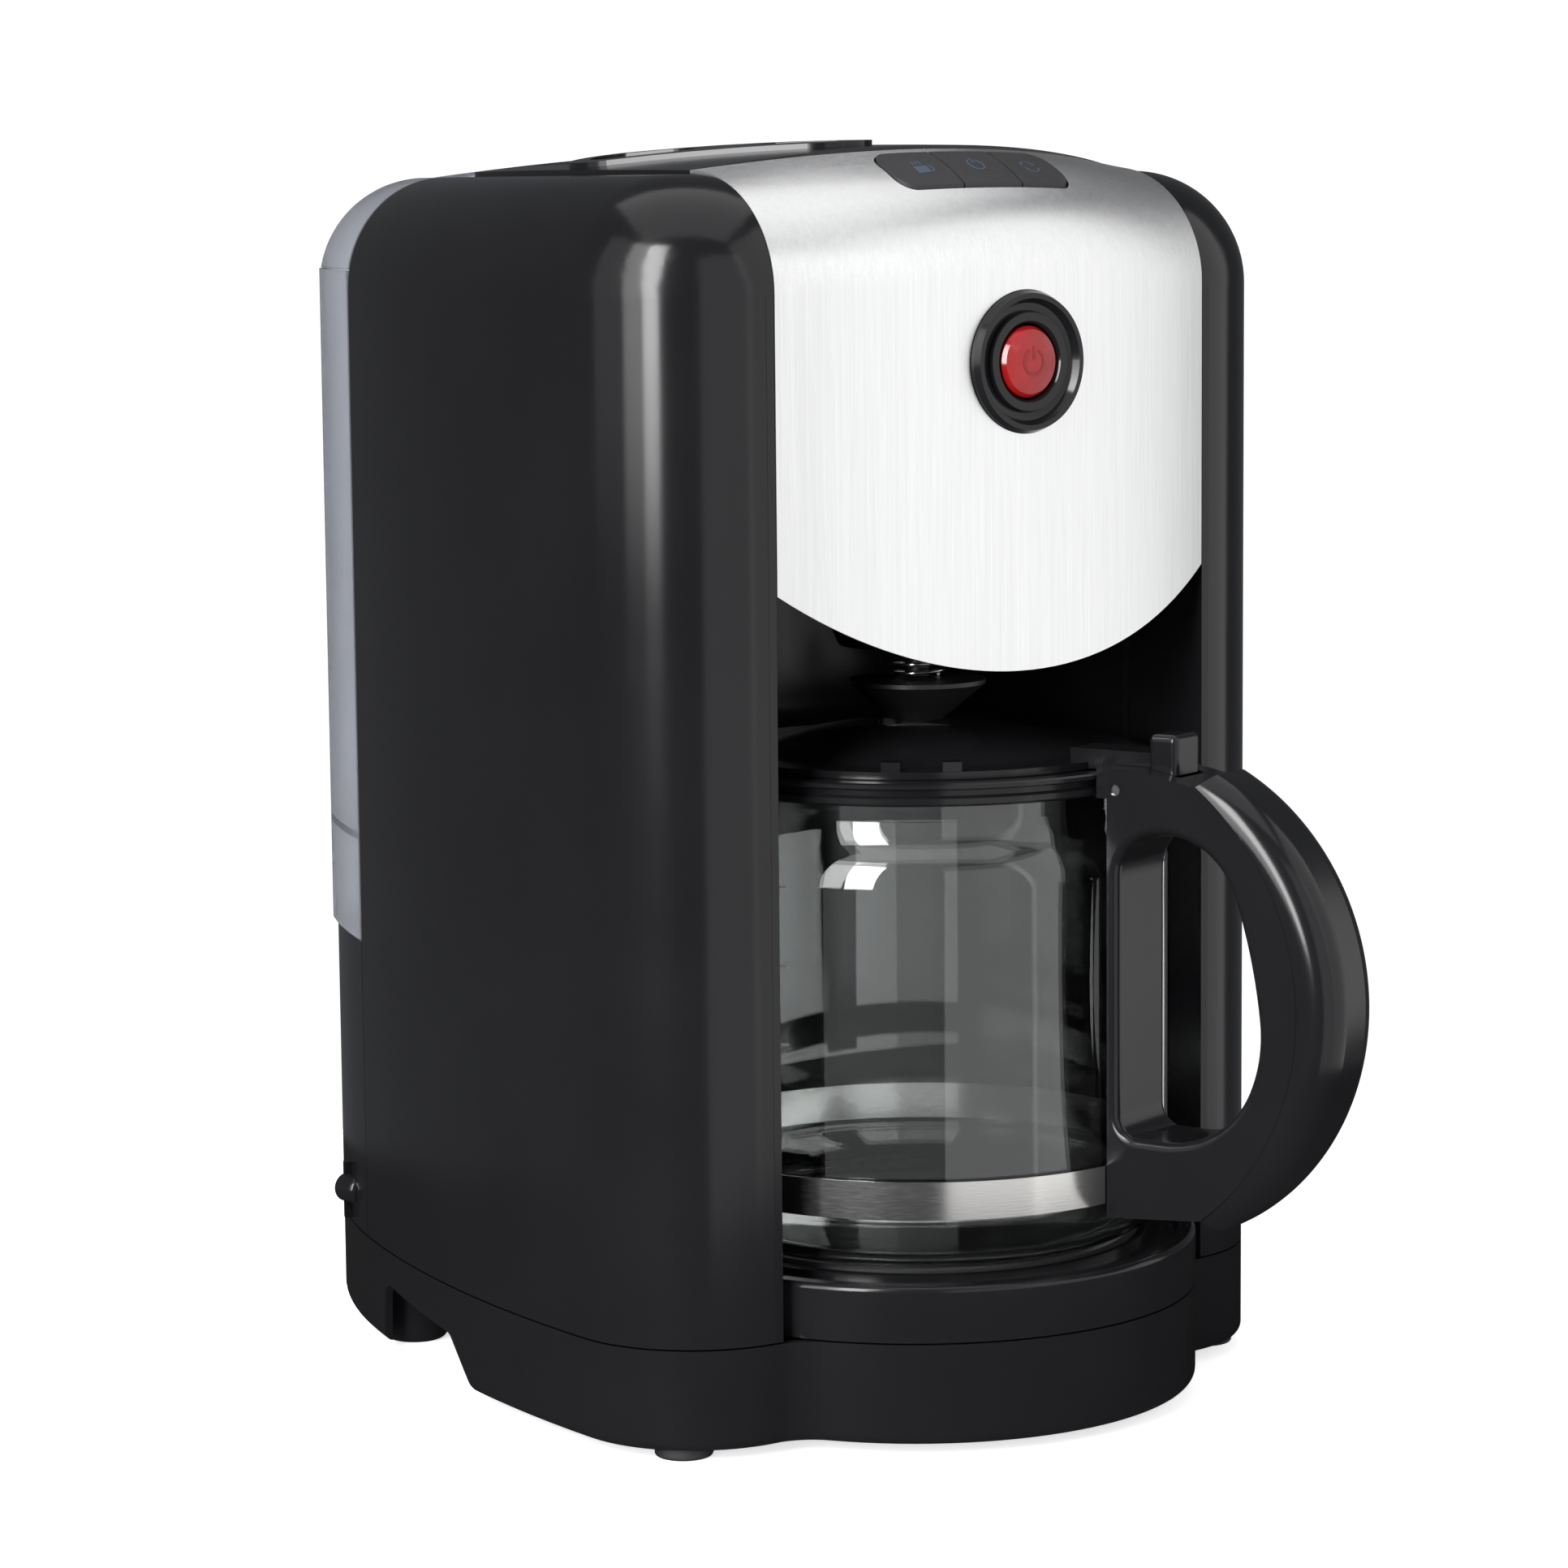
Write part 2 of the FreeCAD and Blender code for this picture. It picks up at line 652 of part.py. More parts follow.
def make_liner():
    """U-shaped back of the jug bay with the ceiling over it."""
    low = pedestal_top + 0.6
    high = ceiling_height + wall
    radius = bay_back_radius - seam_gap / 2
    legs_front = bay_back_centre - 12
    walls = prism(bay_plan(radius, legs_front), low, high)
    walls = walls.cut(prism(bay_plan(radius - wall, legs_front - 5), low - 1, ceiling_height))
    shelf = prism(bay_plan(radius, 4), ceiling_height, high)
    liner = walls.fuse(shelf).removeSplitter()
    return liner.cut(filter_form(0.8, filter_bottom - 5, filter_rim_height))


def make_deck():
    """Tray under the lid: floor, low wall and the ears that hold the lid's pins."""
    wall_top = lid_pin_z - 0.9
    rear = tank_front - 3.2
    outer = lid_region(-2.2, deck_height, wall_top, rear=rear - 2.2)
    inner = lid_region(-0.6, deck_height + 2, wall_top + 5, rear=rear - 2.4)
    deck = outer.cut(inner)
    deck = deck.common(body_form(wall + 0.4, 100))
    deck = deck.cut(rod(filter_rim_radius + 0.4, 0, sky, 0, filter_y))
    deck = deck.cut(rod(hose_radius + 0.8, 0, sky, riser_x, riser_y))
    deck = deck.cut(block(-100, 100, lid_pin_y - 4, tank_front + 20, deck_rear_top, sky))
    for side in SIDES:
        x0 = lid_knuckle_x + lid_knuckle_length / 2 + 0.4
        x0, x1 = sorted((side * x0, side * (x0 + lid_ear_length)))
        ear = cross_rod(lid_knuckle_radius, x0, x1, lid_pin_y, lid_pin_z)
        post = block(x0, x1, lid_pin_y - 2.4, rear, deck_height + 1, lid_pin_z)
        post = post.cut(block(x0, x1, lid_pin_y + 2.4, rear + 1, deck_rear_top, sky))
        ear = ear.fuse(post).cut(cross_rod(lid_pin_radius + 0.05, x0 - 1, x1 + 1, lid_pin_y, lid_pin_z))
        deck = deck.fuse(ear)
    return deck.removeSplitter()


# ---------------------------------------------------------------- lid
def grip_oval(length, width, z0, z1, shift=0.0):
    """Upright oval prism round the lid's finger opening, moved forward along its slant by shift."""
    half = (length - width) / 2
    oval = block(-half, half, -width / 2, width / 2, z0, z1)
    for side in SIDES:
        oval = oval.fuse(rod(width / 2, z0, z1, side * half, 0))
    oval = oval.removeSplitter()
    oval.translate(V(shift, 0, 0))
    oval.rotate(V(0, 0, 0), V(0, 0, 1), grip_slant)
    oval.translate(V(grip_x, grip_y, 0))
    return oval


def make_lid():
    """Crowned sheet with a skirt, knuckles, vents and the long boss with the finger opening."""
    gap = moving_gap
    low, high = top_height - 20, top_height + 10
    plan = lid_region(gap, low, high)
    rear_corners = [e for e in plan.Edges if e.BoundBox.YLength < 1e-3 and e.BoundBox.XLength < 1e-3
                    and e.BoundBox.YMin > lid_rear - gap - 1]
    plan = plan.makeFillet(lid_rear_corner, rear_corners)
    sheet = crown(0).cut(crown(lid_wall)).common(plan)
    skirt = lid_region(gap + 1.0, low, high, rear=lid_pin_y - 13).cut(
        lid_region(gap + 2.8, low - 1, high + 1, rear=lid_pin_y - 8))
    skirt = skirt.common(crown(0.5)).cut(block(-100, 100, -50, 400, low - 30, side_top - lid_skirt_depth))
    lid = sheet.fuse(skirt)
    boss_plan = grip_oval(grip_length + 12 + boss_reach, grip_width + 12, low, high, boss_reach / 2)
    boss = crown(-boss_height).cut(crown(1.0)).common(boss_plan)
    lid = lid.fuse(boss).cut(grip_oval(grip_length, grip_width, low - 30, sky))
    dip = grip_oval(24.0, 7.0, low, high, grip_length / 2 + 0.7 * boss_reach)
    lid = lid.cut(crown(-boss_height - 5).cut(crown(0.2)).common(dip))
    for side in SIDES:
        middle = side * lid_knuckle_x
        half = lid_knuckle_length / 2
        knuckle = cross_rod(lid_knuckle_radius, middle - half, middle + half, lid_pin_y, lid_pin_z)
        web = block(middle - half, middle + half, lid_pin_y - 5, lid_pin_y, lid_pin_z, lid_pin_z + 7)
        web = web.common(crown(0.4))
        pin_hole = cross_rod(lid_pin_radius, middle - half - 1, middle + half + 1, lid_pin_y, lid_pin_z)
        lid = lid.fuse(knuckle.fuse(web)).cut(pin_hole)
    for row in range(6):
        for column in range(2):
            slot = block(-6, 6, -1.2, 1.2, low - 30, sky)
            slot.rotate(V(0, 0, 0), V(0, 0, 1), 20)
            slot.translate(V(-50 + 0.8 * row + 15 * column, 124 + 6.5 * row, 0))
            lid = lid.cut(slot)
    return lid.removeSplitter()


def make_lid_pins():
    pins = []
    for side in SIDES:
        near = lid_knuckle_x - lid_knuckle_length / 2
        far = lid_knuckle_x + lid_knuckle_length / 2 + 0.4 + lid_ear_length
        x0, x1 = sorted((side * near, side * far))
        pins.append(cross_rod(lid_pin_radius, x0, x1, lid_pin_y, lid_pin_z))
    return pins


# ---------------------------------------------------------------- front panel parts
def make_panel():
    steel = panel_form(0, panel_steel, jug_bay_half_width - 0.3)
    steel = steel.cut(below_panel(0))
    steel = steel.cut(deep_rod(bezel_radius + 0.2, -40, 40, 0, button_height))
    return steel.cut(keypad_prism(moving_gap))


def make_carrier():
    near = panel_steel + 0.1
    carrier = panel_form(near, near + panel_carrier_wall, jug_bay_half_width - 0.6)
    carrier = carrier.cut(below_panel(-1.0))
    carrier = carrier.cut(deep_rod(bezel_radius - 2.4, -40, 40, 0, button_height))
    return carrier.cut(keypad_prism(moving_gap))


def make_bezel():
    """Stepped round bezel, modelled along z and then laid over to face forwards."""
    outline_points = [
        (bezel_radius, 0.6), (bezel_radius - 0.8, 2.4), (bezel_radius - 2.2, 2.4),
        (bezel_radius - 3.4, 0.4), (button_radius + 4.2, 0.0), (button_radius + 3.6, 1.4),
        (button_radius + 1.4, 1.4), (button_radius + 0.7, 0.4), (button_radius + 0.7, -bezel_depth),
        (button_radius + 2.6, -bezel_depth), (button_radius + 2.6, -1.6), (bezel_radius - 2.8, -1.4),
        (bezel_radius - 2.8, -0.6), (bezel_radius, -0.6),
    ]
    bezel = turned(outline_points)
    bezel.rotate(V(0, 0, 0), V(1, 0, 0), 90)
    bezel.translate(V(0, -panel_bulge, button_height))
    return bezel


def make_power_button():
    """Translucent red cap with a domed face, a flange inside and a stem to the switch."""
    cap = turned([
        (0, -6.0), (button_radius, -6.0), (button_radius, 0.6), (button_radius - 0.9, 1.8),
        (button_radius - 3.4, 2.6), (button_radius - 6.6, 3.0), (0, 3.1),
    ])
    stem = turned([(0, -bezel_depth - 2.2), (2.4, -bezel_depth - 2.2), (2.4, -5.9), (0, -5.9)])
    whole = cap.fuse(stem)
    whole.rotate(V(0, 0, 0), V(1, 0, 0), 90)
    whole.translate(V(0, -panel_bulge, button_height))
    return whole


def make_power_switch():
    back = -panel_bulge + bezel_depth + 2.2 + button_travel + 0.4
    case = block(-9, 9, back, back + 9, button_height - 7, button_height + 7)
    plate = block(-16, 16, back + 9, back + 10.6, button_height - 16, button_height + 16)
    tabs = [block(x - 0.4, x + 0.4, back + 10.6, back + 14, button_height - 3, button_height + 3)
            for x in (-5, 0, 5)]
    return case.fuse(plate).fuse(Part.makeCompound(tabs))


def make_keys():
    """Three keys cut from one curved slab that follows the panel."""
    slab = panel_form(-keypad_proud, key_thickness - keypad_proud, keypad_half_length + 6, top_height - 50)
    slab = slab.common(keypad_prism(0))
    half_gap = 0.3
    cuts = [(-60, -key_split - half_gap), (-key_split + half_gap, key_split - half_gap),
            (key_split + half_gap, 60)]
    keys = []
    for (x0, x1), stem_x in zip(cuts, key_stems):
        key = slab.common(block(x0, x1, -60, 80, top_height - 60, sky))
        stem = block(stem_x - 2, stem_x + 2, 8, 11, board_level + 8.5, top_height - 7)
        keys.append(key.fuse(stem))
    return keys


def make_key_frame():
    """Tray under the keys, hooked behind the carrier."""
    slab = panel_form(4.6, 6.2, keypad_half_length + 9, top_height - 50)
    slab = slab.common(keypad_prism(3.0))
    for x in key_stems:
        slab = slab.cut(block(x - 3, x + 3, 6, 13, top_height - 60, sky))
    return slab


def make_board():
    """Control board behind the keypad, with three small switches under the key stems."""
    low = board_level
    board = block(-34, 34, -1, 16.5, low, low + 1.6)
    for x in key_stems:
        board = board.fuse(block(x - 3, x + 3, 6.5, 12.5, low + 1.5, low + 5.4))
        board = board.fuse(rod(1.4, low + 5.3, low + 7.2, x, 9.5))
    return board.fuse(block(-32, -25, 9, 15.5, low + 1.5, low + 7))


# ---------------------------------------------------------------- filter
def filter_form(grow, z0, z1):
    """Slanting cone from the round rim down to the drip outlet over the jug."""
    rim = Part.Wire(Part.makeCircle(filter_rim_radius + grow, V(0, filter_y, filter_rim_height)))
    foot = Part.Wire(Part.makeCircle(filter_bottom_radius + grow, V(0, jug_y, filter_bottom)))
    cone = Part.makeLoft([foot, rim], True, True)
    return cone.common(block(-100, 100, -50, 300, z0, z1))


def make_filter_holder():
    """Slanting funnel with a rim, a bored guide for the drip valve and four outlets round it."""
    outer = filter_form(0, filter_bottom, filter_rim_height)
    inner = filter_form(-filter_wall, filter_bottom + 3, filter_rim_height + 1)
    rim = turned([
        (filter_rim_radius - filter_wall - 0.5, filter_rim_height - 2),
        (filter_rim_radius - 0.2, filter_rim_height - 2),
        (filter_rim_radius - 0.2, filter_rim_height + 1.2),
        (filter_rim_radius + 3, filter_rim_height + 1.2),
        (filter_rim_radius + 3, filter_rim_height + 3),
        (filter_rim_radius - filter_wall - 0.5, filter_rim_height + 3),
    ], 0, filter_y)
    guide = rod(valve_stem_radius + 3.4, filter_bottom + 1, filter_bottom + 14, 0, jug_y)
    holder = outer.cut(inner).fuse(rim).fuse(guide)
    holder = holder.cut(rod(valve_stem_radius + 0.6, 0, 300, 0, jug_y))
    for turn in range(4):
        angle = math.radians(45 + 90 * turn)
        reach = valve_stem_radius + 8
        holder = holder.cut(rod(2.2, filter_bottom - 5, filter_bottom + 8, reach * math.cos(angle),
                                jug_y + reach * math.sin(angle)))
    return holder


def make_filter_basket():
    """Reusable filter that hangs in the holder by its rim, with windows for the mesh."""
    drop = -filter_wall - basket_gap
    low = filter_bottom + 32
    outer = filter_form(drop, low, filter_rim_height)
    inner = filter_form(drop - 1.2, low + 1.5, filter_rim_height + 1)
    rim = turned([
        (filter_rim_radius + drop - 1.6, filter_rim_height - 2),
        (filter_rim_radius + drop - 0.2, filter_rim_height - 2),
        (filter_rim_radius + drop - 0.2, filter_rim_height + 3.2),
        (filter_rim_radius + 2, filter_rim_height + 3.2),
        (filter_rim_radius + 2, filter_rim_height + 5),
        (filter_rim_radius + drop - 1.6, filter_rim_height + 5),
    ], 0, filter_y)
    basket = outer.cut(inner).fuse(rim)
    for turn in range(8):
        window = block(14, 80, -5, 5, low + 20, filter_rim_height - 12)
        window.rotate(V(0, 0, 0), V(0, 0, 1), 45 * turn)
        window.translate(V(0, filter_y - 14, 0))
        basket = basket.cut(window)
    return basket


def make_drip_valve():
    """Cone that the jug lifts, its stem through the holder and the stop on top."""
    cone = turned([
        (0, valve_tip), (valve_tip_radius, valve_tip + 0.4), (valve_rim_radius, valve_rim_height),
        (valve_rim_radius, valve_rim_height + 1.2), (valve_stem_radius + 2.4, valve_rim_height + 1.2),
        (valve_stem_radius, valve_rim_height + 2.2), (valve_stem_radius, valve_top),
        (0, valve_top),
    ], 0, jug_y)
    stop = turned([(0, valve_top - 0.1), (valve_stem_radius + 3, valve_top - 0.1),
                   (valve_stem_radius + 3, valve_top + 2), (0, valve_top + 4)], 0, jug_y)
    return cone.fuse(stop)


# ---------------------------------------------------------------- water tank
def tank_form(inset, z0):
    return body_form(inset, z0, radius_b=tank_haunch_radius, turn_b=tank_haunch_turn)


def tank_plan(inset):
    return outline(inset, tank_haunch_radius, tank_haunch_turn)


def tank_back():
    return tank_plan(0).BoundBox.YMax


def tank_knuckles(spans, hole):
    """Hinge barrels at the back of the tank, at the joint between tank and lid."""
    back = tank_back() + tank_hinge_radius - 0.6
    barrels = None
    for x0, x1 in spans:
        barrel = cross_rod(tank_hinge_radius, x0, x1, back, tank_split)
        barrel = barrel.cut(cross_rod(hole, x0 - 1, x1 + 1, back, tank_split))
        barrels = barrel if barrels is None else barrels.fuse(barrel)
    return barrels


def make_tank():
    front = tank_front + 0.4
    slab = block(-200, 200, front, 500, tank_low, tank_split - 0.3)
    outer = prism(tank_plan(0), tank_low, tank_split - 0.3).common(slab)
    hollow = prism(tank_plan(tank_wall), tank_floor + tank_wall, tank_split + 5)
    hollow = hollow.common(block(-200, 200, front + tank_wall, 500, 0, sky))
    under = prism(tank_plan(tank_wall), tank_low - 1, tank_floor)
    under = under.common(block(-200, 200, front + tank_wall, 500, 0, sky))
    tank = outer.cut(hollow).cut(under)
    outlet = ring(socket_radius - 1.6, socket_radius - 3.8, tank_low + 6, tank_floor + tank_wall,
                  0, tank_valve_y)
    tank = tank.cut(rod(socket_radius - 3.8, 0, tank_floor + 5, 0, tank_valve_y)).fuse(outlet)
    seat = ring(socket_radius - 3.7, 4.0, tank_low + 8, tank_low + 9.5, 0, tank_valve_y)
    tank = tank.fuse(seat)
    back = tank_back()
    lugs = tank_knuckles([(-7.5, 7.5)], tank_pin_radius + 0.05)
    web = block(-7.5, 7.5, back - 1.2, back + 1.2, tank_split - 9, tank_split - 1.5)
    web = web.cut(cross_rod(tank_pin_radius + 0.05, -9, 9, back + tank_hinge_radius - 0.6, tank_split))
    return tank.cut(cross_rod(tank_hinge_radius + 0.5, -21, 21, back + tank_hinge_radius - 0.6,
                              tank_split)).fuse(lugs).fuse(web).removeSplitter()


def make_tank_lid():
    front = tank_front + 0.4
    plan = tank_plan(top_round + 2.5)
    keep = block(-200, 200, front, 500, tank_split, sky)
    outer = tank_form(0, tank_split - 16).common(keep)
    outer = outer.fuse(crown(0).common(prism(plan, top_height - 20, top_height + 10)).common(keep))
    room = block(-200, 200, front + tank_wall, 500, tank_split - 36, sky)
    inner = tank_form(tank_wall, tank_split - 26).common(room)
    inner_top = crown(tank_wall).common(prism(tank_plan(top_round + 4.5), top_height - 25, top_height + 10))
    inner_top = inner_top.common(room)
    lid = outer.cut(inner).cut(inner_top)
    back = tank_back()
    axis_y = back + tank_hinge_radius - 0.6
    lid = lid.cut(cross_rod(tank_hinge_radius + 0.5, -8.1, 8.1, axis_y, tank_split))
    spans = [(8.1, 20), (-20, -8.1)]
    lugs = tank_knuckles(spans, tank_pin_radius + 0.05)
    for x0, x1 in spans:
        web = block(x0, x1, back - 1.2, back + 1.0, tank_split + 1.5, tank_split + 9)
        web = web.cut(cross_rod(tank_pin_radius + 0.05, x0 - 1, x1 + 1, axis_y, tank_split))
        lugs = lugs.fuse(web)
    lid = lid.fuse(lugs)
    return lid.removeSplitter()


def make_tank_socket():
    """Cup in the shelf with the central finger that holds the tank's valve open."""
    low, high = tank_low - 16, tank_low + 12
    cup = ring(socket_radius, socket_radius - 1.2, low, high, 0, tank_valve_y)
    floor = rod(socket_radius, low, low + 2, 0, tank_valve_y)
    finger = rod(1.6, low + 1, tank_low + 6.2, 0, tank_valve_y)
    spout = ring(4.0, 2.4, low - 12, low + 1, 0, tank_valve_y)
    flange = ring(socket_radius + 4, socket_radius - 0.5, tank_low - 0.6, tank_low + 1.4, 0, tank_valve_y)
    socket = cup.fuse(floor).fuse(finger).fuse(flange)
    return socket.cut(rod(2.4, low - 1, low + 0.9, 3.6, tank_valve_y)).fuse(spout)


# ---------------------------------------------------------------- jug
def jug_ring(points):
    return turned(points, 0, jug_y)


def make_glass():
    """Glass body: flat foot, round heel, straight wall, drawn-in shoulder and neck."""
    def rings(grow, foot):
        r = jug_radius + grow
        heel = 14 + grow
        start = jug_bottom + foot
        rise = jug_shoulder_start
        points = [V(0, 0, start), V(r - heel, 0, start)]
        heel_mid = V(r - heel * (1 - math.sin(math.radians(45))), 0,
                     start + heel * (1 - math.cos(math.radians(45))))
        heel_end = V(r, 0, start + heel)
        drawn = jug_radius - jug_neck_radius
        height = jug_neck_start - rise
        half = V((r + jug_neck_radius + grow) / 2, 0, rise + height / 2)
        upper = V(r - drawn * 0.14, 0, rise + height * 0.25)
        lower = V(jug_neck_radius + grow + drawn * 0.14, 0, rise + height * 0.75)
        edges = [
            Part.makeLine(points[0], points[1]),
            Part.Arc(points[1], heel_mid, heel_end).toShape(),
            Part.makeLine(heel_end, V(r, 0, rise)),
            Part.Arc(V(r, 0, rise), upper, half).toShape(),
            Part.Arc(half, lower, V(jug_neck_radius + grow, 0, jug_neck_start)).toShape(),
            Part.makeLine(V(jug_neck_radius + grow, 0, jug_neck_start),
                          V(jug_neck_radius + grow, 0, jug_neck_top - foot * 0.01)),
        ]
        top = edges[-1].Vertexes[-1].Point
        edges.append(Part.makeLine(top, V(0, 0, top.z)))
        edges.append(Part.makeLine(V(0, 0, top.z), points[0]))
        solid = Part.Face(Part.Wire(edges)).revolve(V(0, 0, 0), V(0, 0, 1), 360)
        return solid

    outer = rings(0, 0)
    inner = rings(-jug_glass, jug_glass + 0.6)
    inner = inner.fuse(rod(jug_neck_radius - jug_glass, jug_neck_start + 1, jug_neck_top + 5))
    glass = outer.cut(inner)
    glass.translate(V(0, jug_y, 0))
    return glass


def handle_frame(shape):
    """Turns a shape drawn with the handle along -Y about the jug axis to its real place."""
    turned_shape = shape.copy()
    turned_shape.translate(V(0, jug_y, 0))
    turned_shape.rotate(V(0, jug_y, 0), V(0, 0, 1), handle_turn)
    return turned_shape


def arc_line(first, middle, last):
    """Arc through three (outwards, up) points of the handle's plane."""
    return Part.Arc(*[V(0, -r, z) for r, z in (first, middle, last)]).toShape()


def straight(first, last):
    return Part.makeLine(V(0, -first[0], first[1]), V(0, -last[0], last[1]))


def upright_slab(edges, half):
    solid = Part.Face(Part.Wire(edges)).extrude(V(2 * half, 0, 0))
    solid.translate(V(-half, 0, 0))
    return solid


def handle_points():
    """Where the cover meets the side plates: top, outermost and low (outwards, up) points."""
    plate_reach = handle_reach - handle_cover_depth
    top = (handle_corner_reach, handle_shoulder)
    low = (handle_corner_reach + 2, handle_low + 2)
    return top, (plate_reach, handle_middle_height), low


def finger_opening(half):
    """Rounded opening in the handle: a run of arcs that each start in the last one's direction."""
    side = jug_radius + band_sheet + 0.4 + handle_upright
    start, heading = (side, grip_hole_head), 90.0
    edges = []
    for distance, height in grip_hole_arcs:
        end = (side + distance, height)
        chord = math.degrees(math.atan2(end[1] - start[1], end[0] - start[0]))
        half_turn = (chord - heading + 180) % 360 - 180
        length = math.hypot(end[0] - start[0], end[1] - start[1])
        bulge = length / 2 * math.tan(math.radians(half_turn / 2))
        across = math.radians(chord - 90)
        middle = ((start[0] + end[0]) / 2 + bulge * math.cos(across),
                  (start[1] + end[1]) / 2 + bulge * math.sin(across))
        edges.append(arc_line(start, middle, end))
        start, heading = end, heading + 2 * half_turn
    foot = (side, start[1] - (start[0] - side) * math.tan(math.radians(heading)))
    edges += [straight(start, foot), straight(foot, (side, grip_hole_head))]
    hole = upright_slab(edges, half)
    corner = [e for e in hole.Edges if e.BoundBox.YLength < 1e-3 and e.BoundBox.ZLength < 1e-3
              and abs(e.BoundBox.ZMin - foot[1]) < 1e-3]
    return hole.makeFillet(grip_hole_corner, corner)


def make_handle():
    """Handle body: strip along the glass, side plates, ears for the lid's pin."""
    half = handle_half_width
    top, outer_middle, low = handle_points()
    inner = jug_neck_radius
    foot_left, head_left = (inner, handle_low - 1), (inner, collar_high - 2)
    ear_left, ear_right = (collar_radius + 1.0, handle_top), (jug_pin_reach + 6, handle_top)
    body = upright_slab([
        arc_line(top, outer_middle, low), straight(low, foot_left), straight(foot_left, head_left),
        straight(head_left, ear_left), straight(ear_left, ear_right), straight(ear_right, top),
    ], half)
    body = body.cut(finger_opening(half + 5))
    rims = [e for face in finger_opening(half).Faces if face.BoundBox.XLength < 1e-3 for e in face.Edges]
    mouth = [e for e in body.Edges
             if any((e.CenterOfMass - rim.CenterOfMass).Length < 1e-3 for rim in rims)]
    body = body.makeFillet(grip_hole_round, mouth)
    hub_room = block(-7.1, 7.1, -(jug_pin_reach + 6), -jug_neck_radius + 5, jug_pin_height - 6.0, sky)
    lever_room = block(-lever_half_width - 0.6, lever_half_width + 0.6, -(lever_reach + 1.5),
                       -jug_neck_radius, lever_low - 1.6, sky)
    body = body.cut(hub_room).cut(lever_room)
    body = body.cut(rod(collar_radius + 1.5, collar_low - 0.5, sky))
    body = body.cut(band_screw(0.12))
    body = body.cut(rod(jug_radius + 0.4 + band_sheet, 0, collar_low))
    body = body.cut(cross_rod(jug_pin_radius, -half - 1, half + 1, -jug_pin_reach, jug_pin_height))
    return handle_frame(sorted(body.Solids, key=lambda s: -s.Volume)[0])


def make_handle_cover():
    """Rounded outer shell of the grip, clipped over the side plates."""
    half = handle_half_width
    (top_r, top_z), (middle_r, middle_z), (low_r, low_z) = handle_points()
    gap = 0.1
    top_out, low_out = (top_r + 4, top_z + 3.2), (low_r + 3, low_z - 3.5)
    cover = upright_slab([
        arc_line((top_r + gap, top_z), (middle_r + gap, middle_z), (low_r + gap, low_z)),
        straight((low_r + gap, low_z), low_out),
        arc_line(low_out, (handle_reach, middle_z), top_out),
        straight(top_out, (top_r + gap, top_z)),
    ], half)
    outer_edges = [e for e in cover.Edges if e.BoundBox.XLength < 0.01 and e.Length > 100
                   and e.BoundBox.YMin < -handle_reach + 0.5]
    return handle_frame(cover.makeFillet(cover_round, outer_edges))


def make_collar():
    """Black ring round the neck that the handle and the lid hang on, with a pouring lip."""
    ring_points = [
        (jug_neck_radius + 0.15, collar_low), (collar_radius - 1.2, collar_low),
        (collar_radius - 0.4, collar_low + 0.7), (collar_radius - 0.4, collar_low + 2.2),
        (collar_radius - 1.4, collar_low + 2.9), (collar_radius - 1.4, collar_high - 2.1),
        (collar_radius + 0.8, collar_high - 1.4), (collar_radius + 0.8, collar_high - 0.4),
        (collar_radius, collar_high), (jug_neck_radius - 0.5, collar_high),
        (jug_neck_radius - 1.5, collar_high - 1.0), (jug_neck_radius - 1.5, jug_neck_top + 0.2),
        (jug_neck_radius + 0.15, jug_neck_top + 0.2),
    ]
    return jug_ring(ring_points)


def make_jug_lid():
    """Domed lid with a drip hole, a flat rim and the thumb lever over the handle."""
    rim = collar_radius - 6.5
    hub = dome_hole_radius
    steps = 6
    over, under = [], []
    rise = dome_top - dome_base
    for i in range(steps + 1):
        share = i / steps
        radius = dome_radius + (hub - dome_radius) * share
        lift = rise * math.sin(math.radians(90 * share)) ** 0.9
        over.append((radius, dome_base + lift))
        under.append((radius, dome_base + lift - jug_lid_wall))
    points = [(rim, collar_high + 0.3), (rim, dome_base)] + over + under[::-1]
    points = points + [(dome_radius, collar_high + 0.3)]
    clean = []
    for point in points:
        if not clean or abs(point[0] - clean[-1][0]) + abs(point[1] - clean[-1][1]) > 1e-6:
            clean.append(point)
    lid = turned(clean)
    skirt_radius = jug_neck_radius - jug_glass - 0.8
    skirt = ring(skirt_radius, skirt_radius - 1.2, collar_high - 4, collar_high + 0.6)
    lid = lid.fuse(skirt)
    arm_half = 5.8
    arm = block(-arm_half, arm_half, -jug_pin_reach - 6, -rim + 6, collar_high + 0.4, dome_base + 3.6)
    hub_rod = cross_rod(4.2, -arm_half, arm_half, -jug_pin_reach, jug_pin_height)
    neck = block(-arm_half, arm_half, -jug_pin_reach - 4.2, -jug_pin_reach + 4.2,
                 jug_pin_height, dome_base + 2.4)
    lever = block(-lever_half_width, lever_half_width, -lever_reach, -lever_near, lever_low, lever_top)
    lever = lever.makeFillet(1.8, [e for e in lever.Edges if e.BoundBox.ZMin > lever_top - 0.01
                                   or e.BoundBox.ZLength > 3])
    bridge = block(-arm_half, arm_half, -lever_near - 1, -jug_pin_reach, lever_low, dome_base + 3.6)
    whole = lid.fuse(arm).fuse(hub_rod).fuse(neck).fuse(lever).fuse(bridge)
    whole = whole.cut(cross_rod(jug_pin_radius + 0.05, -30, 30, -jug_pin_reach, jug_pin_height))
    for turn in (-1, 1):
        tab = block(rim - 6, rim - 0.5, -2.6, 2.6, dome_base - 0.2, dome_base + 2.6)
        tab.rotate(V(0, 0, 0), V(0, 0, 1), 215 + 8 * turn)
        whole = whole.fuse(tab)
    return handle_frame(whole)


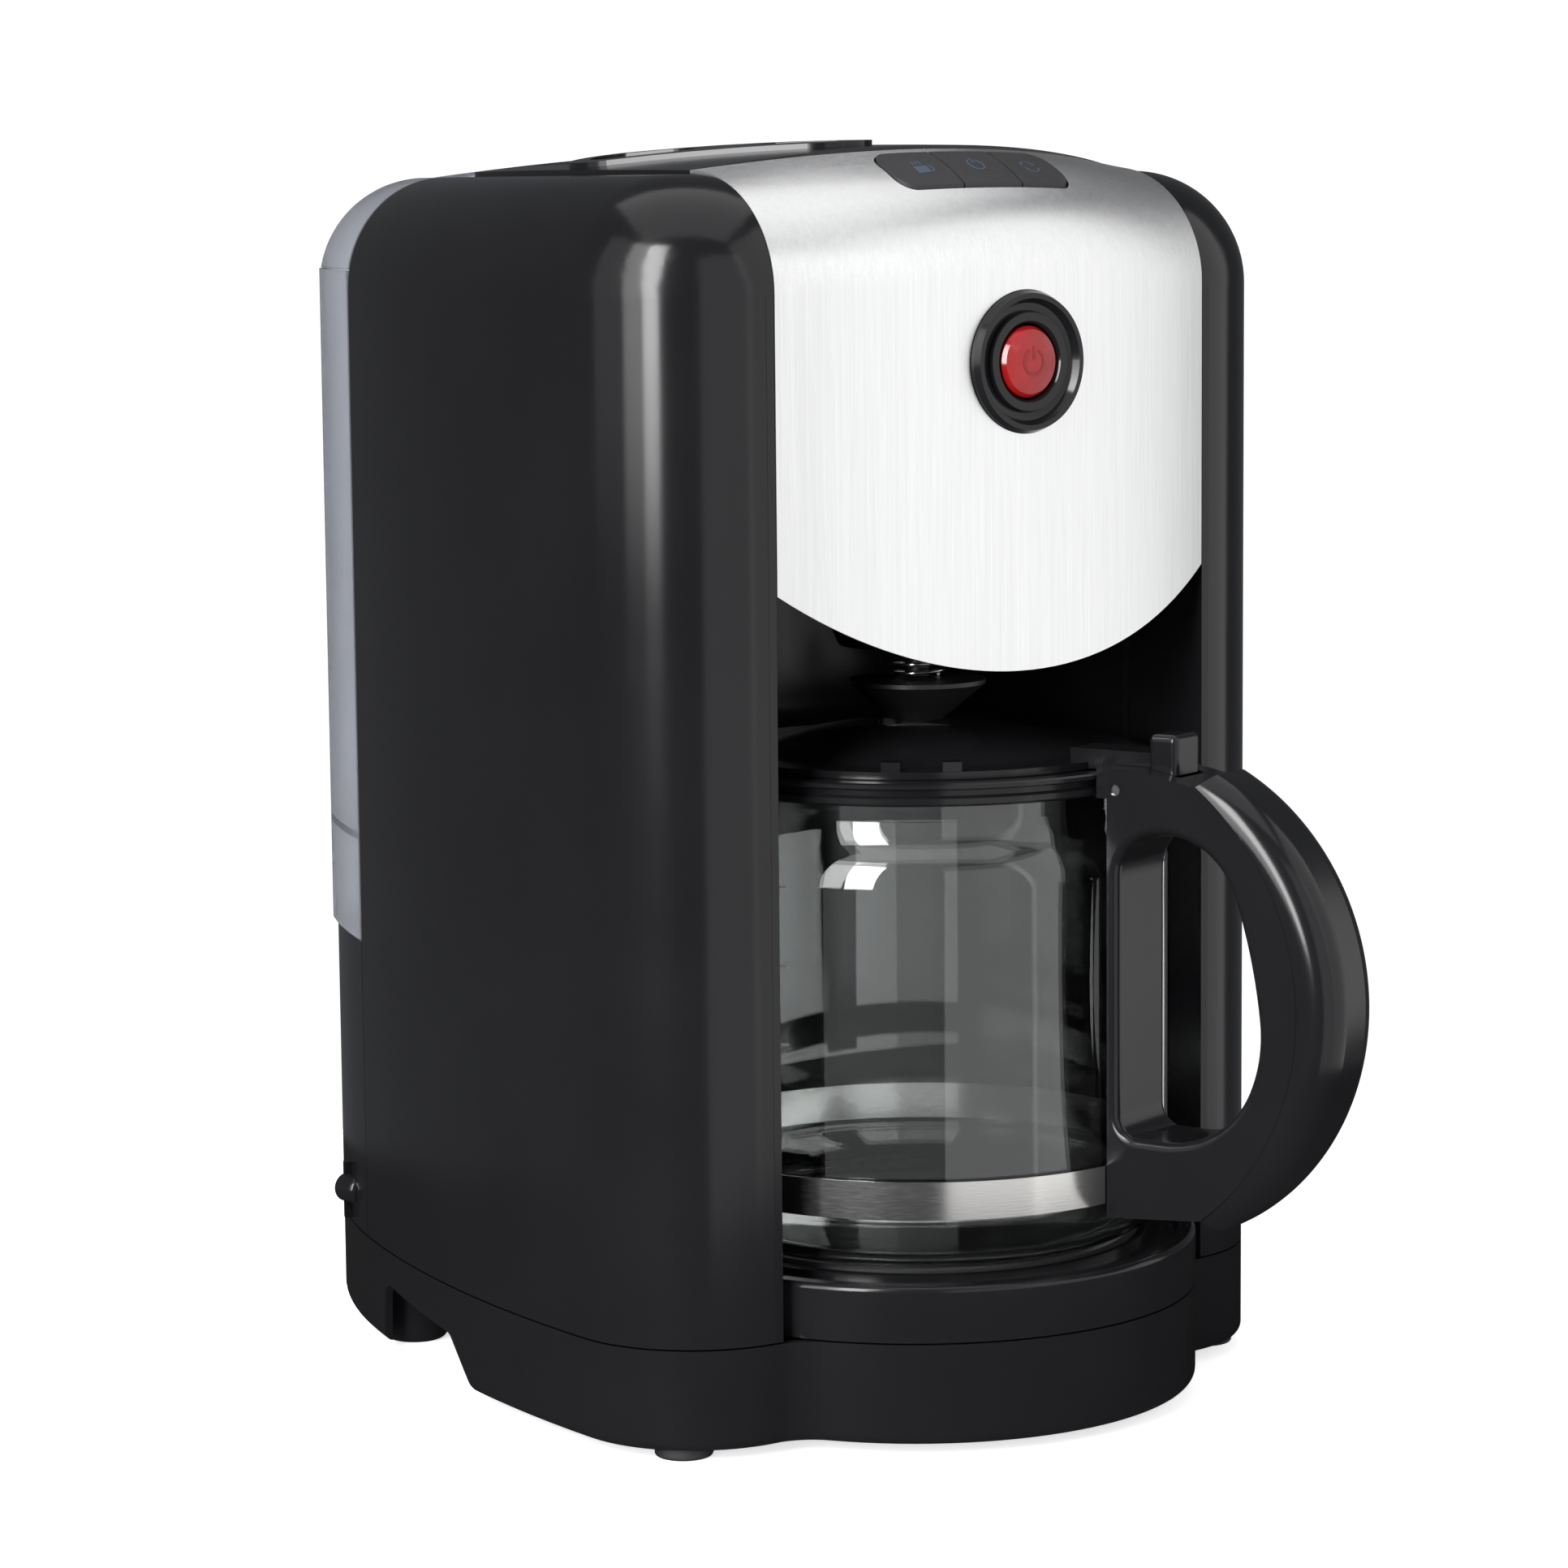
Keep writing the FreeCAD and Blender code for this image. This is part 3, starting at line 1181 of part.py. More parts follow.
def make_jug_pin():
    half = handle_half_width - 0.6
    pin = cross_rod(jug_pin_radius, -half, half, -jug_pin_reach, jug_pin_height)
    return handle_frame(pin)


def make_band():
    inner = jug_radius + 0.1
    return ring(inner + band_sheet, inner, band_low, band_high, 0, jug_y)


def band_screw(grow):
    """Screw that draws the handle to the band, before it is turned to its place."""
    height = (band_low + band_high) / 2
    near = -(jug_radius + band_sheet + 0.5)
    shank = deep_rod(1.8 + grow, near - 9 - grow, near + grow, 0, height)
    return shank.fuse(deep_rod(3.4 + grow, near - 9 - grow, near - 6 + grow, 0, height))


# ---------------------------------------------------------------- works in the base
def make_heating_element():
    """Bent heater with the water tube beside it, clamped under the plate."""
    z = element_height
    solids = []
    for radius, tube in ((element_radius, element_tube), (element_radius - 9.4, 4.6)):
        ring_path = Part.makeTorus(radius, tube, V(0, jug_y, z), V(0, 0, 1))
        ring_path = ring_path.cut(block(-14, 14, jug_y, jug_y + 80, 0, 80))
        solids.append(ring_path)
    for side in SIDES:
        solids.append(deep_rod(4.6, jug_y + 29, jug_y + 66, side * (14 + 4.0), z))
    body = solids[0]
    for solid in solids[1:]:
        body = body.fuse(solid)
    return body


def make_clamp():
    z = element_height
    bar = block(-element_radius - 6, element_radius + 6, jug_y - 6, jug_y + 6, z - 8.4, z - 6.2)
    stud = rod(2.0, z - 6.3, plate_top - 2, 0, jug_y)
    nut = Part.Face(Part.makePolygon([V(4 * math.cos(a), 4 * math.sin(a) + jug_y, z - 11.4)
                                      for a in [math.radians(60 * i) for i in range(7)]]))
    return bar.fuse(stud).fuse(nut.extrude(V(0, 0, 3.1)))


def make_screws():
    """Housing screws driven up through the bottom and the two under the lid deck."""
    screws = []
    for x, y in ((-60, 20), (60, 20), (-70, 85), (70, 85)):
        head = rod(3.6, plate_floor - 1.8, plate_floor - 0.05, x, y)
        screws.append(head)
    for side in SIDES:
        screws.append(rod(3.0, deck_height + 2.05, deck_height + 3.6, side * 58, 118))
    return screws


# ---------------------------------------------------------------- build everything
save("base_shell", make_base())
save("bottom_plate", make_bottom_plate())
save("rubber_feet", *make_feet())
save("pedestal_ring", make_pedestal())
save("left_housing", make_side_housing(-1))
save("right_housing", make_side_housing(1))
save("rear_housing", make_rear_housing())
save("back_plate", make_back_plate())
save("bay_liner", make_liner())
save("lid_deck", make_deck())
save("housing_screws", *make_screws())

# hot plate and heater
plate_rim = jug_ring([
    (0, plate_top - plate_sheet), (plate_radius, plate_top - plate_sheet),
    (plate_radius, plate_top - 5), (plate_radius + plate_sheet, plate_top - 5),
    (plate_radius + plate_sheet, plate_top - 0.6), (plate_radius + plate_sheet - 0.6, plate_top),
    (0, plate_top),
])
save("hot_plate", plate_rim)
save("plate_seal", ring(plate_radius + 3.2, plate_radius + plate_sheet + 0.1, pedestal_top - 3.2,
                        pedestal_top - 0.6, 0, jug_y))
save("heating_element", make_heating_element())
save("heater_clamp", make_clamp())
save("thermostat", rod(8, element_height - 18, element_height - 12, 22, jug_y).fuse(
    block(16, 28, jug_y - 3, jug_y + 3, element_height - 12.1, element_height - 8.5)))
save("thermal_fuses", *[deep_rod(2.0, jug_y - 14, jug_y - 8.5, x, element_height - 10.4)
                        for x in (-24, -16)])

# water path
socket_low = tank_low - 28
save("tank_socket", make_tank_socket())
inlet = tube_path([(0, tank_valve_y, socket_low - 0.1), (0, tank_valve_y, hose_height),
                   (0, 165, hose_height), (18, 134, element_height),
                   (18, jug_y + 82.2, element_height)], 7, hose_radius, hose_bore)
save("inlet_hose", inlet)
save("check_valve", deep_rod(5.6, jug_y + 66.4, jug_y + 82, 18, element_height).cut(
    deep_rod(2.6, jug_y + 60, jug_y + 90, 18, element_height)))
riser = tube_path([(-18, jug_y + 66.3, element_height), (-18, jug_y + 94, element_height),
                   (riser_x, riser_y, element_height), (riser_x, riser_y, riser_top),
                   (0, riser_y - 6, riser_top), (0, filter_y + 22.1, riser_top)], 9, hose_radius, hose_bore)
save("riser_tube", riser)
head_low = riser_top - 3.5
save("shower_head", turned([(0, head_low - 2), (20, head_low - 2), (22, head_low), (22, head_low + 4),
                              (19, head_low + 7), (0, head_low + 7)],
                           0, filter_y).cut(
    turned([(0, head_low - 1), (19, head_low - 1), (19, head_low + 4), (0, head_low + 5)], 0, filter_y)))

# filter and drip valve
save("filter_holder", make_filter_holder())
save("filter_basket", make_filter_basket())
save("drip_valve", make_drip_valve())
save("valve_spring", coil(spring_radius, 0.55, valve_rim_height + 1.3, filter_bottom - 0.1, 3.5, 0, jug_y))
save("valve_seal", ring(valve_stem_radius + 2.8, valve_stem_radius + 0.3, valve_top - 5.2, valve_top - 2.2,
                        0, jug_y))

# front panel group
save("front_panel", make_panel())
save("panel_carrier", make_carrier())
save("button_bezel", make_bezel())
save("power_button", make_power_button())
save("power_switch", make_power_switch())
for key_name, key_shape in zip(("key_cup", "key_power", "key_timer"), make_keys()):
    save(key_name, key_shape)
save("key_frame", make_key_frame())
save("control_board", make_board())

# lid
save("top_lid", make_lid())
save("lid_pins", *make_lid_pins())

# water tank
save("water_tank", make_tank())
save("tank_lid", make_tank_lid())
save("tank_lid_pin", cross_rod(tank_pin_radius, -20, 20, tank_back() + tank_hinge_radius - 0.6, tank_split))
plunger = rod(5.4, tank_low + 9.8, tank_low + 11.8, 0, tank_valve_y).fuse(
    rod(1.8, tank_low + 6.5, tank_low + 30, 0, tank_valve_y))
save("tank_valve", plunger)
save("tank_valve_seal", ring(6.4, 5.5, tank_low + 9.6, tank_low + 10.8, 0, tank_valve_y))

# cord gland on the left rear wall, its sleeve lying along the side
side_form = prism(outline(-gland_proud), 0, 80).cut(prism(outline(-0.1), 0, 80))
flange = block(-120, -60, gland_y - 1.2, gland_y + 1.2, seam_height + 1.2, seam_height + 1.2 + gland_plate)
flange = flange.common(side_form)
gland_x = flange.BoundBox.XMin + 1.5
sleeve = deep_rod(gland_sleeve_radius, gland_y - gland_length, gland_y, gland_x, gland_height)
sleeve = sleeve.makeFillet(2.5, [e for e in sleeve.Edges if e.BoundBox.YMax < gland_y - gland_length + 0.1])
save("cord_gland", flange.fuse(sleeve).cut(prism(outline(-0.1), 0, 80)))

# jug
save("jug_glass", make_glass())
save("jug_band", make_band())
save("jug_collar", make_collar())
save("jug_handle", make_handle())
save("handle_cover", make_handle_cover())
save("handle_screw", handle_frame(band_screw(0)))
save("jug_lid", make_jug_lid())
save("jug_lid_pin", make_jug_pin())
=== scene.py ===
# %% [markdown]
# # A drip coffee maker with a glass jug
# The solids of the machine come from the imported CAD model, in metres, with the origin in the middle of
# the footprint on the worktop. This lesson gives every solid its finish, adds the small things that
# CAD leaves out, and sets the stage. Nothing that the CAD made is moved.

import math

import bmesh
import bpy
from mathutils import Euler, Matrix, Vector


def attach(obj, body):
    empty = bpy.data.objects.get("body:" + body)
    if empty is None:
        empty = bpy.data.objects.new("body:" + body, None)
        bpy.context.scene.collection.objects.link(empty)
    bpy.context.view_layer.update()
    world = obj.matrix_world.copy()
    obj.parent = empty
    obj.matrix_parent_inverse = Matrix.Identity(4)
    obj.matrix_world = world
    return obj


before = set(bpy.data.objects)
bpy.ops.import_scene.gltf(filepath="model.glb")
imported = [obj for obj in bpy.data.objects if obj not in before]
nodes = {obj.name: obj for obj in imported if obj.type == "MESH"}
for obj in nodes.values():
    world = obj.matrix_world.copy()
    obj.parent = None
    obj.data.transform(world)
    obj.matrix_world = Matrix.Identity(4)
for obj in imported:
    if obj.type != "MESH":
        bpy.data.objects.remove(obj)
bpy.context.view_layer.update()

# %% [markdown]
# ## Shader sums as plain formulas
# A pattern such as brushing is a sum of noises. Written with Math nodes by hand it is hard to read, so
# a small class wraps a socket and lets it stand in a formula: each operator adds the Math node for it.
# Everything else comes from one method that makes a node, sets its settings and joins its sockets.


# %% Formula sockets and finishes
class Signal:
    """A number socket that can stand in a formula."""

    def __init__(self, finish, socket):
        self.finish = finish
        self.socket = socket

    def _sum(self, operation, left, right):
        node = self.finish.node("ShaderNodeMath", {"operation": operation}, {0: left, 1: right})
        return Signal(self.finish, node.outputs[0])

    def __add__(self, other):
        return self._sum("ADD", self, other)

    def __radd__(self, other):
        return self._sum("ADD", other, self)

    def __sub__(self, other):
        return self._sum("SUBTRACT", self, other)

    def __rsub__(self, other):
        return self._sum("SUBTRACT", other, self)

    def __mul__(self, other):
        return self._sum("MULTIPLY", self, other)

    def __rmul__(self, other):
        return self._sum("MULTIPLY", other, self)

    def clipped(self):
        """The signal held between 0 and 1."""
        low = self._sum("MAXIMUM", self, 0.0)
        return low._sum("MINIMUM", low, 1.0)


class Finish:
    """A material under construction, with its surface shader already in place."""

    def __init__(self, name, **shader):
        self.material = bpy.data.materials.new(name)
        self.material.use_nodes = True
        self.tree = self.material.node_tree
        self.tree.nodes.clear()
        self.surface = self.node("ShaderNodeBsdfPrincipled", {}, shader)
        self.output = self.node("ShaderNodeOutputMaterial", {}, {})
        self.tree.links.new(self.surface.outputs[0], self.output.inputs["Surface"])
        self.place = self.node("ShaderNodeTexCoord", {}, {})

    def node(self, kind, settings, inputs):
        """Makes a node, sets its settings, then gives its sockets values or links."""
        node = self.tree.nodes.new(kind)
        for key, value in settings.items():
            if key == "stops":
                ramp = node.color_ramp.elements
                while len(ramp) < len(value):
                    ramp.new(0.5)
                for element, (position, colour) in zip(ramp, value):
                    element.position = position
                    element.color = colour
            else:
                setattr(node, key, value)
        for key, value in inputs.items():
            self.join(value, node.inputs[key])
        return node

    def join(self, value, socket):
        if isinstance(value, Signal):
            value = value.socket
        if isinstance(value, bpy.types.NodeSocket):
            self.tree.links.new(value, socket)
        else:
            socket.default_value = value

    def noise(self, size, stretch=(1, 1, 1), detail=2.0, offset=(0, 0, 0)):
        """Noise whose grains are about size metres wide, longer where stretch is above 1."""
        scale = [1 / (size * s) for s in stretch]
        mapping = self.node("ShaderNodeMapping", {}, {
            "Vector": self.place.outputs["Object"], "Scale": scale, "Location": offset})
        noise = self.node("ShaderNodeTexNoise", {}, {
            "Vector": mapping.outputs[0], "Scale": 1.0, "Detail": detail, "Roughness": 0.55})
        return Signal(self, noise.outputs["Fac"])

    def shade(self, share, dark, light):
        """A colour between two, by a share from 0 to 1."""
        mix = self.node("ShaderNodeMix", {"data_type": "RGBA"}, {0: share, 6: (*dark, 1), 7: (*light, 1)})
        self.join(mix.outputs[2], self.surface.inputs["Base Color"])

    def rough(self, value):
        self.join(value, self.surface.inputs["Roughness"])

    def bump(self, height, depth):
        """Raises the surface by height (0 to 1) times depth metres."""
        bump = self.node("ShaderNodeBump", {}, {"Strength": 1.0, "Distance": depth, "Height": height})
        self.join(bump.outputs[0], self.surface.inputs["Normal"])


def finish_nodes(finish, *names):
    """Gives CAD nodes a finish in their own material slots."""
    for name in names:
        mesh = nodes[name].data
        mesh.materials.clear()
        mesh.materials.append(finish.material)
    print(finish.material.name, "on", ", ".join(names))


# %% [markdown]
# ## Glossy black housings
# The housings are moulded in black ABS from a polished tool. The surface is never quite flat: it has a
# faint long waviness that bends reflections, a little haze from handling and the finest grain. Three
# noises of different sizes do this: one for the height, two for the roughness.

# %% Black plastics
gloss_black = Finish("gloss black ABS", IOR=1.5, **{"Specular IOR Level": 0.3})
haze = gloss_black.noise(0.05, detail=3.0)
grain = gloss_black.noise(0.0006, detail=1.0)
waves = gloss_black.noise(0.03, detail=0.0)
gloss_black.shade(haze, (0.0055, 0.0055, 0.0062), (0.0085, 0.0085, 0.0095))
gloss_black.rough(0.12 + 0.07 * haze + 0.02 * grain)
gloss_black.bump(waves + 0.012 * grain, 0.00004)
finish_nodes(gloss_black, "base_shell", "left_housing", "right_housing", "rear_housing", "top_lid",
             "button_bezel", "pedestal_ring", "handle_cover", "jug_handle", "jug_collar", "jug_lid",
             "filter_holder", "cord_gland", "bay_liner")

satin_black = Finish("satin black plastic", IOR=1.5)
haze = satin_black.noise(0.02, detail=3.0)
grain = satin_black.noise(0.0004, detail=2.0)
satin_black.shade(haze, (0.008, 0.008, 0.009), (0.014, 0.014, 0.016))
satin_black.rough(0.38 + 0.12 * haze)
satin_black.bump(grain, 0.00003)
finish_nodes(satin_black, "lid_deck", "panel_carrier", "back_plate", "bottom_plate", "key_frame",
             "tank_socket", "shower_head", "drip_valve", "filter_basket")

# %% [markdown]
# ## Brushed steel
# The front panel was brushed upright with an abrasive belt. The scratches are a tenth of a millimetre
# wide and many centimetres long, so the noise is stretched along Z. Fine scratches spread highlights
# sideways, which is why the panel looks almost white from edge to edge.

# %% Steels
brushed_steel = Finish("brushed steel", Metallic=1.0, Anisotropic=0.4)
fine = brushed_steel.noise(0.00016, (1, 1, 160), detail=2.0)
broad = brushed_steel.noise(0.0011, (1, 1, 90), detail=2.0)
streaks = (0.6 * fine + 0.4 * broad).clipped()
brushed_steel.shade(streaks, (0.62, 0.62, 0.62), (0.93, 0.93, 0.93))
brushed_steel.rough(0.24 + 0.20 * streaks)
brushed_steel.bump(fine, 0.000012)
finish_nodes(brushed_steel, "front_panel")

polished_steel = Finish("polished steel", Metallic=1.0)
wear = polished_steel.noise(0.004, (1, 1, 0.1), detail=3.0)
polished_steel.shade(wear, (0.60, 0.59, 0.57), (0.80, 0.79, 0.77))
polished_steel.rough(0.12 + 0.12 * wear)
polished_steel.bump(wear, 0.000004)
finish_nodes(polished_steel, "jug_band", "valve_spring", "handle_screw", "jug_lid_pin", "lid_pins",
             "tank_lid_pin", "housing_screws")

# %% [markdown]
# ## Clear parts
# The jug is borosilicate glass and the tank is clear styrene with a grey-blue tint. Both are closed
# solids with real wall thickness, so refraction works by itself. The tank shows flow marks.

# %% Glass and clear plastic
clear_glass = Finish("jug glass", IOR=1.47, **{"Transmission Weight": 1.0})
film = clear_glass.noise(0.03, detail=2.0)
clear_glass.shade(film, (0.93, 0.95, 0.95), (0.98, 0.99, 0.99))
clear_glass.rough(0.01 * film)
clear_glass.bump(clear_glass.noise(0.04, detail=0.0), 0.00006)
finish_nodes(clear_glass, "jug_glass")

clear_tank = Finish("clear tank plastic", IOR=1.5, **{"Transmission Weight": 0.85})
flow = clear_tank.noise(0.05, (1, 1, 3), detail=2.0)
clear_tank.shade(flow, (0.60, 0.62, 0.68), (0.72, 0.74, 0.80))
clear_tank.rough(0.10 + 0.08 * flow)
clear_tank.bump(flow, 0.0002)
finish_nodes(clear_tank, "water_tank", "tank_lid")

red_lens = Finish("red lens", IOR=1.5, **{"Transmission Weight": 0.25})
cloud = red_lens.noise(0.004, detail=2.0)
red_lens.shade(cloud, (0.26, 0.003, 0.005), (0.40, 0.008, 0.010))
red_lens.rough(0.12 + 0.08 * cloud)
red_lens.bump(cloud, 0.00002)
finish_nodes(red_lens, "power_button")

# %% [markdown]
# ## Rubber, silicone and the works
# The keys, feet, plate seal and inlet hose are matte rubber, the riser tube and valve seals silicone. The
# parts inside are seen only when a lid is open or the jug is out, but each still has its own finish.

# %% Rubber and inner parts
rubber = Finish("black rubber")
dust = rubber.noise(0.003, detail=4.0)
grain = rubber.noise(0.0003, detail=2.0)
rubber.shade(dust, (0.010, 0.010, 0.011), (0.021, 0.021, 0.023))
rubber.rough(0.55 + 0.2 * dust)
rubber.bump(grain, 0.00005)
finish_nodes(rubber, "rubber_feet", "key_cup", "key_power", "key_timer", "plate_seal", "inlet_hose")

plate_coating = Finish("hot plate coating")
specks = plate_coating.noise(0.0008, detail=3.0)
plate_coating.shade(specks, (0.012, 0.012, 0.012), (0.03, 0.03, 0.03))
plate_coating.rough(0.3 + 0.2 * specks)
plate_coating.bump(specks, 0.00003)
finish_nodes(plate_coating, "hot_plate")

silicone = Finish("white silicone", **{"Subsurface Weight": 0.2})
cloud = silicone.noise(0.006, detail=2.0)
silicone.shade(cloud, (0.62, 0.62, 0.58), (0.76, 0.76, 0.72))
silicone.rough(0.45 + 0.15 * cloud)
silicone.bump(cloud, 0.00004)
finish_nodes(silicone, "riser_tube", "valve_seal", "tank_valve_seal")

cast_metal = Finish("cast aluminium", Metallic=1.0)
cloud = cast_metal.noise(0.002, detail=4.0)
cast_metal.shade(cloud, (0.42, 0.42, 0.42), (0.66, 0.66, 0.65))
cast_metal.rough(0.4 + 0.2 * cloud)
cast_metal.bump(cloud, 0.00008)
finish_nodes(cast_metal, "heating_element", "heater_clamp")

ivory = Finish("ivory plastic")
cloud = ivory.noise(0.004, detail=2.0)
ivory.shade(cloud, (0.55, 0.52, 0.42), (0.66, 0.63, 0.53))
ivory.rough(0.4 + 0.1 * cloud)
ivory.bump(cloud, 0.00003)
finish_nodes(ivory, "check_valve", "tank_valve", "thermostat", "thermal_fuses", "power_switch")

board_green = Finish("circuit board")
weave = board_green.noise(0.0012, detail=2.0)
board_green.shade(weave, (0.01, 0.10, 0.03), (0.02, 0.17, 0.06))
board_green.rough(0.3 + 0.1 * weave)
board_green.bump(weave, 0.00002)
finish_nodes(board_green, "control_board")

# %% [markdown]
# ## Printed marks
# The keys carry generic marks (a cup with steam, a power sign, two turning arrows), the red button has a
# raised power sign and the jug has three level lines. The marks on the keys and the button are made flat
# from short bands, bars and heads, then dropped on to the CAD surface below them, so they follow every
# curve. The level lines are short strips cut from a ring round the jug. A decal would need an image; thin
# real geometry keeps its edge sharp from any side.


# %% Bands, bars and heads
def start_flat(kind, **settings):
    """Adds a primitive in edit mode, so that it becomes part of the mark being made."""
    if bpy.context.mode != "EDIT_MESH":
        bpy.ops.object.select_all(action="DESELECT")
        bpy.ops.mesh.primitive_plane_add(size=0.0001)
        bpy.ops.object.mode_set(mode="EDIT")
        bpy.ops.mesh.select_all(action="SELECT")
        bpy.ops.mesh.delete(type="VERT")
    bpy.ops.mesh.select_all(action="DESELECT")
    kind(**settings)


def band(radius, width, first, last, middle=(0, 0)):
    """Part of a flat ring between two angles in degrees."""
    steps = max(6, int((last - first) / 6))
    start_flat(bpy.ops.mesh.primitive_grid_add, x_subdivisions=steps, y_subdivisions=2, size=1.0)
    mesh = bmesh.from_edit_mesh(bpy.context.object.data)
    for vert in [v for v in mesh.verts if v.select]:
        angle = math.radians(first + (last - first) * (vert.co.x + 0.5))
        reach = radius + width * vert.co.y
        vert.co = (middle[0] + reach * math.cos(angle), middle[1] + reach * math.sin(angle), 0)
    bmesh.update_edit_mesh(bpy.context.object.data)


def bar(x0, x1, y0, y1):
    """A flat rectangle, cut into short lengths so that it can follow a curve."""
    start_flat(bpy.ops.mesh.primitive_grid_add, x_subdivisions=4, y_subdivisions=4, size=1.0,
               location=((x0 + x1) / 2, (y0 + y1) / 2, 0))
    bpy.ops.transform.resize(value=(x1 - x0, y1 - y0, 1), center_override=((x0 + x1) / 2, (y0 + y1) / 2, 0))


def head(x, y, size, turn):
    """A flat triangle that points along turn degrees."""
    start_flat(bpy.ops.mesh.primitive_circle_add, vertices=3, radius=size, fill_type="NGON",
               location=(x, y, 0), rotation=(0, 0, math.radians(turn - 90)))


def settle(name, finish, target, body, place, turn, direction):
    """Ends a mark: thickens it, moves it over its surface, drops it on and lets it ride."""
    bpy.ops.mesh.select_all(action="SELECT")
    bpy.ops.mesh.normals_make_consistent(inside=False)
    bpy.ops.object.mode_set(mode="OBJECT")
    mark = bpy.context.object
    mark.name = mark.data.name = name
    mark.rotation_euler = turn
    mark.location = place
    bpy.ops.object.transform_apply(location=True, rotation=True, scale=True)
    drop = mark.modifiers.new("drop", "SHRINKWRAP")
    drop.target = nodes[target]
    drop.wrap_method = "PROJECT"
    drop.use_project_z = direction == "Z"
    drop.use_project_y = direction == "Y"
    drop.use_negative_direction = True
    drop.use_positive_direction = True
    drop.offset = 0.00008
    bpy.ops.object.modifier_apply(modifier="drop")
    skin = mark.modifiers.new("skin", "SOLIDIFY")
    skin.thickness = 0.00012
    skin.offset = 0.0
    bpy.ops.object.modifier_apply(modifier="skin")
    mark.data.materials.append(finish.material)
    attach(mark, body)
    print(name, len(mark.data.polygons), "faces on", target)
    return mark


def power_sign(size):
    """Open ring with a bar in its gap."""
    band(size, size * 0.22, 118, 422)
    bar(-size * 0.11, size * 0.11, size * 0.15, size * 1.25)


# %% Marks on the keys
print_blue = Finish("blue-grey key print", IOR=1.45)
cloud = print_blue.noise(0.001, detail=2.0)
print_blue.shade(cloud, (0.030, 0.045, 0.070), (0.045, 0.062, 0.095))
print_blue.rough(0.45 + 0.15 * cloud)
print_blue.bump(cloud, 0.00001)

key_row = -0.0669
key_level = 0.352
bar(-0.0022, 0.0022, -0.0024, 0.0006)
band(0.0013, 0.0005, -80, 80, (0.0024, -0.0008))
for steam in (-0.0012, 0.0, 0.0012):
    bar(steam - 0.0002, steam + 0.0002, 0.0012, 0.0030)
settle("cup_mark", print_blue, "key_cup", "key_cup", (-0.0195, key_row, key_level), (0, 0, 0), "Z")
power_sign(0.0024)
settle("power_mark", print_blue, "key_power", "key_power", (0, key_row, key_level), (0, 0, 0), "Z")
band(0.0024, 0.0005, 20, 150)
head(-0.0023, 0.0010, 0.0009, 250)
band(0.0024, 0.0005, 200, 330)
head(0.0023, -0.0010, 0.0009, 70)
settle("turning_arrows", print_blue, "key_timer", "key_timer", (0.0195, key_row, key_level), (0, 0, 0), "Z")

# %% Power sign on the red button
dark_red = Finish("dark red print", IOR=1.45)
cloud = dark_red.noise(0.001, detail=2.0)
dark_red.shade(cloud, (0.16, 0.004, 0.006), (0.22, 0.008, 0.010))
dark_red.rough(0.30 + 0.10 * cloud)
dark_red.bump(cloud, 0.00001)
power_sign(0.0034)
settle("button_power_sign", dark_red, "power_button", "power_button", (0, -0.095, 0.2914),
       (math.radians(90), 0, 0), "Y")

# %% Level lines on the jug
print_grey = Finish("grey level print", IOR=1.45)
cloud = print_grey.noise(0.001, detail=2.0)
print_grey.shade(cloud, (0.40, 0.41, 0.42), (0.52, 0.53, 0.54))
print_grey.rough(0.35 + 0.10 * cloud)
print_grey.bump(cloud, 0.00001)
jug_middle = (0.0, -0.0411)
jug_side = 0.07045
line_height = 0.00055
for level in (0.1094, 0.1308, 0.1523):
    bpy.ops.object.select_all(action="DESELECT")
    bpy.ops.mesh.primitive_circle_add(vertices=360, radius=jug_side, location=(*jug_middle, level))
    tick = bpy.context.object
    bpy.ops.object.mode_set(mode="EDIT")
    bpy.ops.mesh.select_all(action="SELECT")
    bpy.ops.mesh.extrude_region_move(TRANSFORM_OT_translate={"value": (0, 0, line_height)})
    cloth = bmesh.from_edit_mesh(tick.data)
    for vert in cloth.verts:
        angle = math.degrees(math.atan2(vert.co.x, -vert.co.y))
        vert.select_set(not -73.2 < angle < -69.4)
    cloth.select_flush_mode()
    bmesh.update_edit_mesh(tick.data)
    bpy.ops.mesh.delete(type="VERT")
    bpy.ops.mesh.select_all(action="SELECT")
    bpy.ops.mesh.normals_make_consistent(inside=False)
    bpy.ops.object.mode_set(mode="OBJECT")
    bpy.ops.object.transform_apply(location=True, rotation=True, scale=True)
    skin = tick.modifiers.new("skin", "SOLIDIFY")
    skin.thickness = 0.00012
    bpy.ops.object.modifier_apply(modifier="skin")
    tick.name = tick.data.name = "level_line_%d" % round(level * 1000)
    tick.data.materials.append(print_grey.material)
    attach(tick, "jug")
    print(tick.name, len(tick.data.polygons), "faces")

# %% [markdown]
# ## Stage
# Black gloss shows only what it reflects, so the room is dark and the light comes from a few soft boxes:
# one left of the camera for the tall highlight on the front corner, a dim one beside it so that the
# highlight fades out, one right of the camera, a strong raised one far right for the brushed panel, and a
# dim ceiling. The floor is white to the eye but unlit in reflections, as if the sides mirrored a dark
# studio, and the room looks white only to the camera and through clear plastic.

